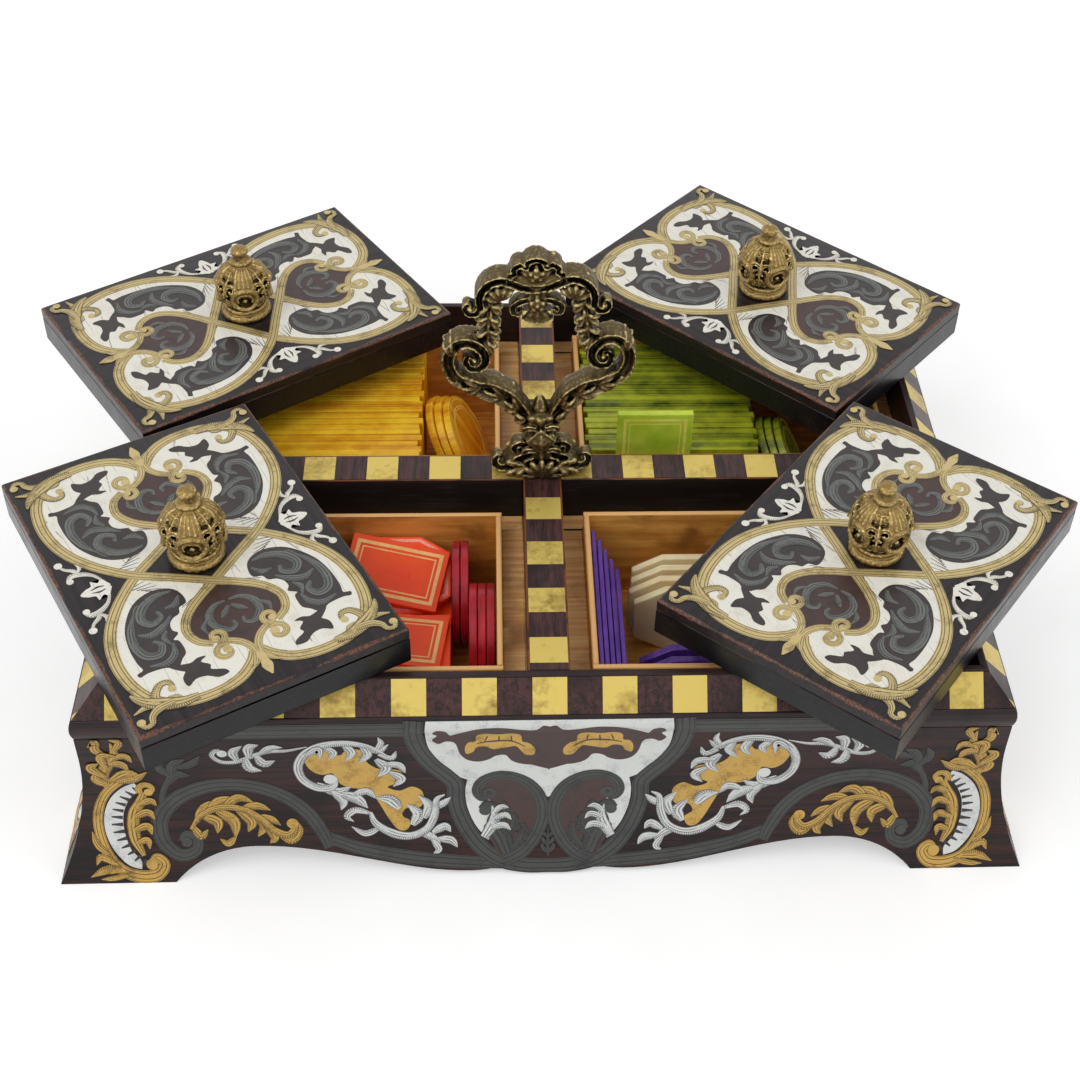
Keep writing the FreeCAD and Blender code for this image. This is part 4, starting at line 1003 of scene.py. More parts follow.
@dataclass
class ApronInlay(Drawing):
    """The inlay of one side of the case, its left half drawn and mirrored."""
    signs: Sequence[Tuple[int, int]] = ((1, 1), (-1, 1))
    strip: float = 3.5
    creases: Tuple[float, ...] = (61.95, 62.05, 64, 65, 66, 67.5, 68.8)
    corner_width: float = 42.0

    def centre(self) -> None:
        """The middle cartouche: a tin shield in a strap, a lobed panel with brass, and two C-scrolls."""
        self.field(Stuff.TIN, 1, 5, [
            (0, 69.2), (0, 69.2), (-20, 69.2), (-40.6, 69.2), (-40.6, 69.2), (-41, 64), (-40.2, 56),
            (-37, 48.5), (-32, 42), (-27.4, 39.2), (-27.4, 39.2), (-28.2, 34), (-27.6, 27), (-25, 19.6),
            (-20.6, 13.4), (-20.6, 13.4), (-14, 22), (-12, 32), (-6, 34), (0, 30.8), (0, 30.8),
        ])
        strap = [
            (-44.6, 69.4), (-45, 63), (-43.6, 55.6), (-39.6, 47.4), (-34.4, 41.2), (-31.6, 37), (-31.4, 29),
            (-28.8, 20), (-23.6, 11.4), (-16.6, 6), (-8, 3.9), (0, 3.6),
        ]
        self.ribbon(Stuff.PEWTER, strap, (6.4, 6.4, 6.2, 5.8, 5.8, 5.6, 5), 2)
        self.field(Stuff.ROSEWOOD, 2, 4, [
            (0, 66.4), (0, 66.4), (-2.2, 66.8), (-4.4, 64.7), (-8, 64.6), (-16, 66), (-24, 65.4), (-30, 63),
            (-32.8, 61.6), (-34.2, 64.2), (-37.2, 64.8), (-38.6, 63), (-37.2, 61.4), (-38.8, 59.4),
            (-36.8, 57.4), (-34.2, 58.6), (-31.2, 57.6), (-29.8, 52.4), (-27.6, 49.2), (-24, 48),
            (-20.4, 48.9), (-17.6, 50.9), (-14.6, 51.2), (-12.6, 48.4), (-9.8, 46.8), (-6.2, 46.2),
            (-4, 47.4), (-2, 46.4), (0, 43.4), (0, 43.4),
        ])
        self.field(Stuff.BRASS, 3, 5, [
            (-28, 55.4), (-27.6, 52.2), (-25.3, 53.2), (-24.2, 55.4), (-21.3, 55.9), (-18.5, 54.4),
            (-14.6, 55.2), (-11.2, 55.8), (-9.6, 53.8), (-7.9, 51.4), (-5.2, 51.2), (-4.7, 54.2),
            (-6.7, 57.2), (-9, 58.2), (-9.5, 61.2), (-12.4, 62.6), (-16.8, 62), (-21.3, 62.6), (-24.2, 61.2),
            (-24.5, 58.6), (-26.8, 58),
        ])
        for points, width in (
            ([(-24, 57.4), (-20, 58.4), (-13, 58.6), (-8, 55.6)], 0.7), ([(-21.4, 58.6), (-20.4, 61.4)], 0.5),
            ([(-16.8, 58.6), (-16.6, 61.2)], 0.5), ([(-12.4, 58.6), (-12.8, 61.2)], 0.5),
        ):
            self.ribbon(Stuff.EBONY, points, (0.3, width, 0.3), 4, Cut.FIELD)
        ring = [
            (-20.2, 31.4), (-22.8, 31), (-24.2, 34.2), (-22.4, 38.4), (-17.4, 41), (-11.6, 40.2),
            (-6.2, 36.4), (-2.7, 30.2), (-1.9, 22.6), (-4.4, 14.6), (-9, 8.6), (-15, 5.4),
        ]
        self.field(Stuff.ROSEWOOD, 3, 5, ring[2:] + [(-19, 12), (-22, 19), (-15, 24), (-20, 30)])
        self.ribbon(Stuff.PEWTER, ring, (2.4, 3.6, 4, 4.4, 4.6, 4.6, 4.4), 4)
        self.dot(Stuff.PEWTER, (-20, 33), 2.4, 5)
        self.dot(Stuff.EBONY, (-20.2, 33), 0.9, 6)
        foliage = [(-13.6, 8.6), (-15.6, 14.6), (-18.4, 19.8), (-17.6, 25.4), (-20.8, 28.2), (-23.2, 26.2)]
        self.ribbon(Stuff.PEWTER, foliage, (5, 6.6, 5.6, 3.6, 3, 1.6), 5, Cut.LOBE)
        self.dot(Stuff.PEWTER, (-21.6, 25.4), 2.0, 5)
        for points, width in (
            ([(-15, 14), (-11.4, 18.6), (-11.6, 24.4)], 3.8), ([(-12, 10), (-8.4, 14.6), (-8.2, 20.4)], 3.6),
            ([(-16.4, 20), (-14.2, 25), (-15.2, 29.6)], 3.4),
        ):
            self.leaf(Stuff.PEWTER, points, width, 6)
        self.lobes(
            Stuff.TIN, 7, (0.7, 1, 0.9), 0.3, (4.2, -22, 14.6, -19.6, 18.6, -18.2, 22.8, -19.2, 27.6),
            (2.8, -19.6, 18.4, -15.4, 19.4, -12.8, 17.4), (2.6, -18.6, 22, -14.8, 23.6, -12.6, 21.6),
            (2.4, -18.8, 24.4, -16.2, 27, -13.4, 26.6),
        )
        self.frond(Stuff.PEWTER, [(0, 7), (0, 12), (0, 18.5)], 3.4, 3, 5)

    def band(self, start: float, half_length: float) -> None:
        """A lined pewter band under the rim, from beside the cartouche to where the corner's leaves begin.

        Args:
            start: Where it starts beside the cartouche.
            half_length: Half the side's length.
        """
        spots = (-start, -(start + half_length - self.corner_width) / 2, self.corner_width - half_length)
        self.ribbon(Stuff.PEWTER, [(along_side, 65) for along_side in spots], (7.2,), 1)

    def sawn_edge(self) -> None:
        """A pewter border along the sawn edge, from the cartouche to the arch."""
        edge = [(-14, 3.6), (-22, 4.8), (-32, 5.6), (-44.5, 6.9), (-56, 9), (-66, 11.6), (-75.4, 15.4)]
        self.ribbon(Stuff.PEWTER, edge, (2, 4.4, 5, 5, 4.8, 4.4), 1)

    def sprig(self) -> None:
        """A low pewter sprig between the arch's scroll and the corner."""
        self.ribbon(
            Stuff.PEWTER, [(-130, 26), (-130, 33), (-127.6, 40), (-124, 46)], (1.4, 2.2, 2.2, 1.2), 2,
            Cut.LOBE,
        )
        self.lobes(
            Stuff.PEWTER, 2, (0.4, 1, 0.9), 0.4, (4, -128, 39, -124.4, 43.6, -119.6, 43.2),
            (4, -126, 43, -124.6, 48.6, -120.6, 51.4), (3.4, -126.4, 43, -129.4, 47.6, -128, 52),
            (3.4, -123.4, 47, -118.6, 49, -115.4, 53),
        )

    def wings(self) -> None:
        """Beside the middle: a brass cartouche in tin acanthus scrolls, and tin sprigs."""
        self.field(Stuff.BRASS, 2, 4, [
            (-81.5, 50.4), (-79.4, 54.4), (-75.6, 56.4), (-72.8, 53.6), (-69.4, 52.2), (-67.2, 54.8),
            (-63, 55), (-60.6, 52), (-60.8, 48.6), (-57.6, 45.4), (-54, 44.8), (-50.2, 44.2), (-48.8, 41.4),
            (-50.6, 38.4), (-54.4, 36.4), (-50.4, 34.6), (-46.2, 36.4), (-42.8, 34.2), (-42.4, 29.6),
            (-44.2, 27), (-48.2, 27), (-49.8, 23.8), (-47, 21.4), (-48.4, 18), (-51.4, 18.2), (-54.2, 22.2),
            (-56.8, 27.8), (-59.2, 32.6), (-62.6, 35.6), (-67.2, 36.4), (-70.6, 38.8), (-72.4, 43.2),
            (-76, 42.6), (-79.6, 45),
        ])
        c_upper = [
            (-71.4, 41.6), (-72.6, 37.2), (-77.6, 36.6), (-82.4, 40.6), (-83.6, 47), (-80.6, 53.6),
            (-74.4, 57.6), (-66.4, 58.4), (-59.4, 56.2), (-53.6, 51.6),
        ]
        self.ribbon(Stuff.TIN, c_upper, (1.2, 3.2, 3.4, 3.2, 3.4, 3.6, 3.2, 2.4, 0.6), 4, Cut.LOBE)
        self.dot(Stuff.TIN, (-73.4, 40.6), 2.2, 5)
        c_lower = [
            (-60.6, 25.4), (-58.8, 20.6), (-53, 16.6), (-47, 15.6), (-41.4, 18.4), (-38.8, 24), (-38, 30.4),
            (-35.2, 32.6),
        ]
        self.ribbon(Stuff.TIN, c_lower, (1.4, 2.8, 3.4, 3, 3, 3, 2.2, 0.6), 4, Cut.LOBE)
        self.lobes(
            Stuff.TIN, 3, (0.45, 0.95, 1, 0.7), 0.3, (3.2, -80.4, 52.6, -76.4, 55.6, -76.2, 50.6),
            (3.2, -75.4, 57.2, -71.6, 53.6, -73.4, 50.2), (3.6, -68, 58, -65.6, 53.4, -67.8, 49.4),
            (3.6, -62, 57, -60.4, 52.4, -63.6, 48.2), (4.2, -78, 38.4, -71.4, 34.6, -66.4, 37),
            (3.6, -73.4, 35.2, -69.6, 30.6, -70.4, 26.6), (4.6, -70, 33.6, -65, 31.4, -61.4, 27.2),
            (3.4, -66, 33.4, -61.4, 34.6, -58.6, 31.4), (3, -60, 56.4, -56.6, 54.2, -53.2, 57.6),
            (2.4, -57.6, 54.4, -55.6, 58.2, -56.4, 61.2), (2.6, -56.8, 52.4, -52.4, 50.6, -50.8, 54),
            (4.2, -57.6, 50, -54.6, 45.4, -57.6, 41.2), (3.4, -55.4, 47.4, -50.2, 46.8, -48.2, 43),
            (3.6, -53.4, 43.6, -49.6, 40.4, -52.4, 36.8), (4.6, -50.6, 26.8, -53.6, 30.6, -58.4, 31.8),
            (4.4, -46.4, 19.8, -44.4, 24.4, -48, 28.8), (4, -42.4, 22.6, -40.6, 27.8, -44, 32.4),
            (3, -39, 26.8, -35.8, 28.8, -33.2, 31.4), (3.2, -44.6, 17.4, -40.2, 15.2, -37, 12.4),
            (3.4, -39.6, 16.8, -35.4, 19.2, -33.4, 17), (3.2, -38, 14.2, -33.4, 13.6, -31.2, 10.8),
            (2.6, -39.8, 14, -37.6, 10.4, -39.4, 8.8), (2.6, -57.6, 18.8, -62.6, 16.8, -67.2, 19.6),
            (3, -60.6, 25, -65.6, 26.4, -68.6, 23.8, -66.4, 21.6),
        )
        stem = [
            (-107, 53.6), (-109.6, 55.6), (-111.4, 53), (-108.8, 49.8), (-104, 49.6), (-99, 52),
            (-93.4, 54.6), (-86.6, 55), (-80, 56.8),
        ]
        self.ribbon(Stuff.TIN, stem, (1.6, 2, 1.8, 1.9, 2, 2.2, 1.6, 0.5), 2, Cut.LOBE)
        self.dot(Stuff.TIN, (-108, 54), 1.7, 3)
        self.lobes(
            Stuff.TIN, 3, (0.5, 1, 0.9), 0.4, (3.6, -103.4, 50.4, -104.4, 54.6, -101.2, 57.8),
            (3.8, -99.4, 51.8, -99, 56.8, -95.8, 58.2), (3.8, -100.6, 51.4, -99.8, 46.6, -95.8, 45),
            (3.8, -97, 52.8, -94.8, 48.6, -91, 50), (3, -96, 53.4, -92, 56.6, -88, 56.8),
        )

    def arch_scroll(self) -> None:
        """Over each arch: a wide pewter C with a brass acanthus branch inside."""
        arch = [
            (-75, 11.6), (-77, 17), (-81.4, 25), (-88, 32), (-97, 37), (-107, 38.8), (-117, 37.2), (-126, 32),
            (-131.6, 24), (-131.2, 15), (-126, 9.8), (-120.6, 11.2), (-119.8, 16), (-123.4, 17.8),
            (-125.4, 15.2),
        ]
        self.ribbon(Stuff.PEWTER, arch, (3.6, 4.8, 5.2, 5.4, 5.6, 5.8, 5.8, 5.4, 4.6, 3.6, 2.8, 1.8), 2)
        self.dot(Stuff.PEWTER, (-123.4, 14.6), 1.9, 3)
        rib = [
            (-121.6, 19.6), (-117.6, 25.4), (-110.6, 28.6), (-103, 27.4), (-97.4, 23), (-93.4, 18.6),
            (-89, 16.8), (-86.4, 19.6), (-87.8, 22.6),
        ]
        self.ribbon(Stuff.BRASS, rib, (1.2, 2.6, 2.8, 2.8, 3, 2.8, 2), 4, Cut.LOBE)
        self.dot(Stuff.BRASS, (-87.2, 21.4), 2.0, 5)
        self.lobes(
            Stuff.BRASS, 3, (0.45, 0.95, 1, 0.7), 0.3, (3.8, -119.6, 22.4, -116.4, 28.4, -112.2, 31.6),
            (4, -115, 27.2, -111, 31.4, -105.4, 32.6), (3.8, -109.6, 28.8, -104.8, 32.6, -99.8, 30.6),
            (3.6, -104, 28, -98.8, 29, -94.2, 27), (3.2, -121, 21, -118.4, 16.8, -115.8, 19.4),
            (4.2, -117.6, 25, -112.6, 22.4, -112.8, 17.8), (4.6, -112.6, 27.4, -107, 22.6, -106.8, 15.8),
            (2.8, -107, 16, -109.4, 13.8, -112, 15.6), (4.2, -105.4, 27.4, -101, 22.4, -102.4, 18.2),
            (4, -99.6, 25.2, -96.8, 20.6, -99.2, 16.2), (3.6, -97, 22, -93.6, 16.2, -95.2, 13.6),
            (3.2, -99, 24.6, -94.4, 23.2, -91.2, 20.6), (3.2, -92.6, 17.6, -88, 14.6, -84.8, 18.2, -86, 22.8),
        )

    def corner(self) -> None:
        """At each foot: a ribbed tin crescent in brass acanthus scrolls that climb the corner."""
        self.field(Stuff.TIN, 2, 5, [
            (-139.4, 4.8), (-139.4, 4.8), (-144, 6.6), (-148.4, 12.4), (-150.4, 19.6), (-149.8, 27),
            (-147, 33.4), (-142.6, 38), (-138.4, 40), (-138.4, 40), (-137.6, 36.6), (-141, 32.6),
            (-143.6, 26.4), (-144, 19.6), (-142.6, 12.4), (-139.4, 8),
        ])
        for step in range(13):
            angle = math.radians(118 + 10.4 * step)
            ends = [
                (-131.6 + wide * math.cos(angle), 22.2 + tall * math.sin(angle))
                for wide, tall in ((12.6, 15.6), (16.4, 18))
            ]
            self.ribbon(Stuff.EBONY, ends, (1.5, 0.5), 3, Cut.FIELD)
        border = [
            (-136.4, 6.4), (-134, 9), (-131.6, 6.4), (-134.2, 2.8), (-140.4, 2.4), (-146.4, 5),
            (-150.6, 11.4), (-152.4, 19.6), (-151.8, 27.6), (-148.8, 35), (-143.6, 40.4), (-138.8, 42.6),
        ]
        self.ribbon(Stuff.BRASS, border, (2.2, 3.2, 4, 4.4, 4.2, 3.6, 3.4, 3.4, 3.2, 3, 3), 4)
        self.dot(Stuff.BRASS, (-135.8, 6.6), 2.0, 5)
        self.lobes(
            Stuff.BRASS, 5, (0.6, 1, 0.8), 0.3, (3.6, -146, 4.8, -151.4, 4.8, -156.8, 2.4),
            (3.2, -148, 7, -152.6, 9.6, -154.6, 6.6), (2.2, -143, 3.2, -149, 1.9, -153.4, 1.6),
            (2.8, -150.4, 10.6, -153.6, 14.4, -154.8, 19.4),
        )
        inner = [(-138.2, 9.8), (-140.4, 15.4), (-140.8, 21.4), (-139.8, 27), (-137.4, 31.6), (-135.8, 35.6)]
        self.ribbon(Stuff.BRASS, inner, (1.6, 4, 4.6, 4.4, 3.8, 2.6), 4, Cut.LOBE)
        self.lobes(
            Stuff.BRASS, 5, (0.6, 1, 0.9), 0.4, (2.8, -140, 14.6, -136.6, 15.8, -136, 12.4),
            (3.2, -140.4, 19.8, -136, 21.4, -134.8, 18), (3.2, -139.8, 25.2, -135.4, 27, -133.4, 24),
            (3, -138.4, 30.2, -134.2, 32, -132.2, 29.8),
        )
        self.curl(Stuff.BRASS, (-134.6, 37), (3, 1.2), (210, -70), (2.4, 2.2, 1.8), 5)
        stalk = [(-146.6, 38), (-148.4, 43.4), (-146, 49.2), (-143, 54.6), (-143.4, 60.2)]
        self.ribbon(Stuff.BRASS, stalk, (3.4, 4.6, 4.6, 4.4, 3, 0.6), 4, Cut.LOBE)
        self.lobes(
            Stuff.BRASS, 5, (0.5, 1, 0.9), 0.4, (3.8, -146.4, 39.4, -150.6, 42, -150, 45.6),
            (3.8, -147.6, 43.6, -151.6, 47.8, -148.8, 50.2), (3.6, -146.6, 47.8, -147.4, 53.6, -142.4, 54),
            (3.6, -144.4, 52.6, -148.6, 56.6, -148.4, 60.8, -151, 58.4),
            (3.6, -145.4, 49.6, -141.6, 49.4, -139.4, 46), (3.2, -143.6, 52.6, -139.8, 53.6, -137.8, 50.4),
            (4.6, -146, 41.2, -140.4, 44.6, -135.6, 43.2), (3.2, -143.8, 41, -138, 42, -133.6, 45.4),
            (2.8, -143, 56, -140.6, 60.4, -143.6, 62),
        )


@dataclass
class Case:
    """The flared case: four inlaid aprons, a chequered rim, dividers, trays and the boards inside."""
    apron_inset: float = 0.7
    flare_start: float = 52.0
    flare_reach: float = 12.4
    joint_height: float = 62.0
    nose_top: float = 70.3
    nose_clear: float = 0.1
    nose_bulge: float = 0.8
    drawn_in: float = 0.62
    band_starts: Spot = (47.5, 34)
    divider_top: float = 80.0
    tray_rim: float = 71.2
    ease: float = 0.5
    fine_ease: float = 0.35
    sides: Tuple[Side, ...] = (
        Side("front", 0, 155.6, 112.9), Side("right", 90, 112.9, 155.6),
        Side("back", 180, 155.6, 112.9), Side("left", 270, 112.9, 155.6),
    )
    brass_tones: Tuple[Colour, Colour] = ((206, 166, 84), (128, 98, 46))

    def build(self) -> None:
        """Dresses every part of the case."""
        self.woods()
        finishes = inlay_finishes("apron", self.brass_tones, ((70, 72, 69), (46, 47, 47)), 0.35)
        for side in self.sides:
            drawing = self.long_drawing() if side.half_length > side.reach else self.short_drawing()
            drawing.pieces(side.name, "case", self.face_of(side), finishes, "marquetry")

    def face_of(self, side: Side) -> Bend:
        """The way from a drawing to one side's face.

        Below the flare's start the face is a hollow quarter: out(z) = R - sqrt(R^2 - (start - z)^2).
        Above the joint it is the rim's nose: a flat arc that stands out by the bulge at its middle.

        Args:
            side: The side.

        Returns:
            A function from rows of (along, height, lift) to rows of X, Y and Z.
        """
        radius = (self.flare_start ** 2 + self.flare_reach ** 2) / (2 * self.flare_reach)
        half_nose = (self.nose_top - self.joint_height) / 2
        nose_radius = (half_nose ** 2 + self.nose_bulge ** 2) / (2 * self.nose_bulge)
        turn = math.radians(side.turn)

        def place(rows: np.ndarray) -> np.ndarray:
            """Bends, lifts and turns the rows.

            Args:
                rows: Rows of (along, height, lift).

            Returns:
                Rows of X, Y and Z.
            """
            x, z, lift = rows.T
            drop = np.clip(self.flare_start - z, 0, None)
            out = side.reach - self.apron_inset + radius - np.sqrt(radius ** 2 - drop ** 2)
            above = np.clip(z - (self.joint_height + half_nose), -half_nose, half_nose)
            nose = side.reach - nose_radius + np.sqrt(nose_radius ** 2 - above ** 2)
            out = np.where(z > self.joint_height, np.maximum(nose, out) + self.nose_clear, out)
            slope = drop / radius
            y = -(out + lift * np.sqrt(1 - slope ** 2))
            height = z + lift * slope
            return np.column_stack(
                [x * math.cos(turn) - y * math.sin(turn), x * math.sin(turn) + y * math.cos(turn), height]
            )

        return place

    def woods(self) -> None:
        """Gives the case's solids their woods, metals and squares."""
        nodes = frame["nodes"]
        for side in self.sides:
            apron = PolishedWood(
                f"rosewood_apron_{side.name}", (16, 11, 13), (58, 30, 27), side.turn, 0.42, 0.014, 0.36,
            )
            dress(nodes[f"apron_{side.name}"], apron)
            rim = PolishedWood(
                f"rosewood_rim_{side.name}", (26, 19, 21), (58, 37, 35), side.turn, 0.7, 0.02, 0.3,
            )
            softened(f"rim_{side.name}", rim, self.fine_ease, "case", "rosewood")
        brass = SheetBrass("brass_squares")
        dark = PolishedWood("rosewood_squares", (38, 24, 26), (80, 50, 48), 90, 0.5, 0.05, 0.3)
        for name in ("rim", "divider"):
            dress(nodes[f"{name}_squares_brass"], brass)
            dress(nodes[f"{name}_squares_rosewood"], dark)
        for name, turn in (("divider_long", 0), ("divider_cross", 90)):
            ebony = Ebonised(f"ebonised_{name}", rubbed=(120, 66, 36), turn=turn, edges=(self.divider_top,))
            softened(name, ebony, self.ease, "case", "ebonised_wood")
        plain = PlainWood("plain_wood", (96, 62, 38), (142, 98, 62))
        dress(nodes["bottom_board"], plain)
        for quarter in LID_TURNS:
            dress(nodes[f"glue_block_{quarter}"], plain)
            ledge = PlainWood("ledge_wood", (224, 152, 86), (255, 206, 136))
            softened(f"ledge_{quarter}", ledge, self.ease, "case", "plain_wood")
            tray = PlainWood("tray_wood", (196, 128, 50), (240, 176, 86), (240, 186, 120), self.tray_rim)
            softened(f"tray_{quarter}", tray, self.fine_ease, "case", "tray_wood")
        for name in ("handle_stem", "handle_washer", "handle_nut"):
            dress(nodes[name], Iron())

    def long_drawing(self) -> ApronInlay:
        """The inlay of a long side."""
        drawing = ApronInlay()
        drawing.centre()
        drawing.band(self.band_starts[0], self.sides[0].half_length)
        drawing.sawn_edge()
        drawing.wings()
        drawing.sprig()
        drawing.arch_scroll()
        drawing.corner()
        return drawing

    def short_drawing(self) -> ApronInlay:
        """The inlay of a short side: the same motifs without the wings, the middle drawn in."""
        drawing = ApronInlay(stretch=self.drawn_in)
        drawing.centre()
        drawing.stretch = 1.0
        drawing.band(self.band_starts[1], self.sides[1].half_length)
        drawing.shift = self.sides[0].half_length - self.sides[1].half_length
        drawing.arch_scroll()
        drawing.corner()
        return drawing


def dress(node: bpy.types.Object, finish: Finish) -> None:
    """Gives a CAD node's every slot one finish.

    Args:
        node: The node.
        finish: Its finish.
    """
    slots = node.data.materials
    for index in range(len(slots)):
        slots[index] = finish.material()
    if not len(slots):
        slots.append(finish.material())


def softened(name: str, finish: Finish, width: float, body: str, slot: str) -> None:
    """Puts an eased copy of a CAD node in its place: merged, flat faces joined, edges rounded.

    Args:
        name: The node.
        finish: The copy's finish.
        width: The rounding's width in millimetres.
        body: The body that it moves with.
        slot: The record's material slot.
    """
    work = bmesh.new()
    work.from_mesh(frame["nodes"][name].data)
    bmesh.ops.remove_doubles(work, verts=work.verts, dist=SAME_POINT * MM)
    bmesh.ops.dissolve_limit(work, angle_limit=math.radians(FLAT_TURN), verts=work.verts, edges=work.edges)
    mesh = bpy.data.meshes.new(f"{name}_eased")
    work.to_mesh(mesh)
    work.free()
    made = piece(f"{name}_eased", mesh, finish, body, (name,), slot)
    eased = made.modifiers.new("eased_edges", "BEVEL")
    eased.width = width * MM
    eased.segments = 2
    eased.limit_method = "ANGLE"
    eased.angle_limit = math.radians(EASED_TURN)
    eased.use_clamp_overlap = True
    mesh.polygons.foreach_set("use_smooth", np.ones(len(mesh.polygons), dtype=bool))
    mesh.set_sharp_from_angle(angle=math.radians(SHARP_TURN))


# ---------------------------------------------------------------- lids

@dataclass(frozen=True)
class LidBoardWood(Finish):
    """The lid's ground: dark veneer, its outermost edge rubbed to reddish wood."""
    name: str
    centre: Spot
    turn: float
    half_size: Spot = (66, 45.65)
    top: float = 95.7
    dark: Colour = (18, 16, 19)
    light: Colour = (44, 33, 35)
    rubbed: Colour = (140, 92, 68)

    def build(self) -> bpy.types.Material:
        """The distance from the nearer edge, in the lid's own axes, drives the rubbing; noise breaks it."""
        shader = Shader(self.name)
        raw = shader.node("TexCoord", out="Object")
        moved = shader.node(
            "Mapping", {"Vector": raw, "Location": (-self.centre[0] * MM, -self.centre[1] * MM, 0)},
        )
        turned = shader.node("Mapping", {"Vector": moved, "Rotation": (0, 0, math.radians(-self.turn))})
        local = shader.node("VectorMath", {0: turned, 3: 1000}, operation="SCALE")
        stretched = shader.node("Mapping", {"Vector": local, "Scale": (0.02, 0.55, 0.55)})
        streaks = shader.noise(stretched, 1.0, 5.0, 0.6, 0.5)
        clouds = shader.noise(local, 0.12, 4.0)
        fine = shader.noise(local, 1.4, 3.0, 0.7)
        body = shader.ramp(streaks, 0.4, rgb(*self.dark), 0.66, rgb(*self.light))
        split = shader.node("SeparateXYZ", {"Vector": local}, out="X").node
        from_end = shader.math("SUBTRACT", self.half_size[0], shader.math("ABSOLUTE", split.outputs["X"]))
        from_side = shader.math("SUBTRACT", self.half_size[1], shader.math("ABSOLUTE", split.outputs["Y"]))
        below = shader.math("SUBTRACT", self.top, shader.height())
        nearest = shader.math("ADD", shader.math("MINIMUM", from_end, from_side), below)
        reach = shader.math("MULTIPLY_ADD", clouds, 2.6, -0.5)
        rubbing = shader.band(shader.math("SUBTRACT", nearest, reach), 0.25, -0.25)
        rubbing = shader.math("MULTIPLY", rubbing, shader.band(fine, 0.3, 0.75))
        colour = shader.mix(rubbing, body, rgb(*self.rubbed))
        rough = shader.math("MULTIPLY_ADD", clouds, 0.3, 0.2)
        return shader.finish(
            colour, rough, shader.bump(streaks, 0.03, 0.5), Specular_IOR_Level=0.3, Coat_Weight=0.1,
            Coat_Roughness=0.2,
        )


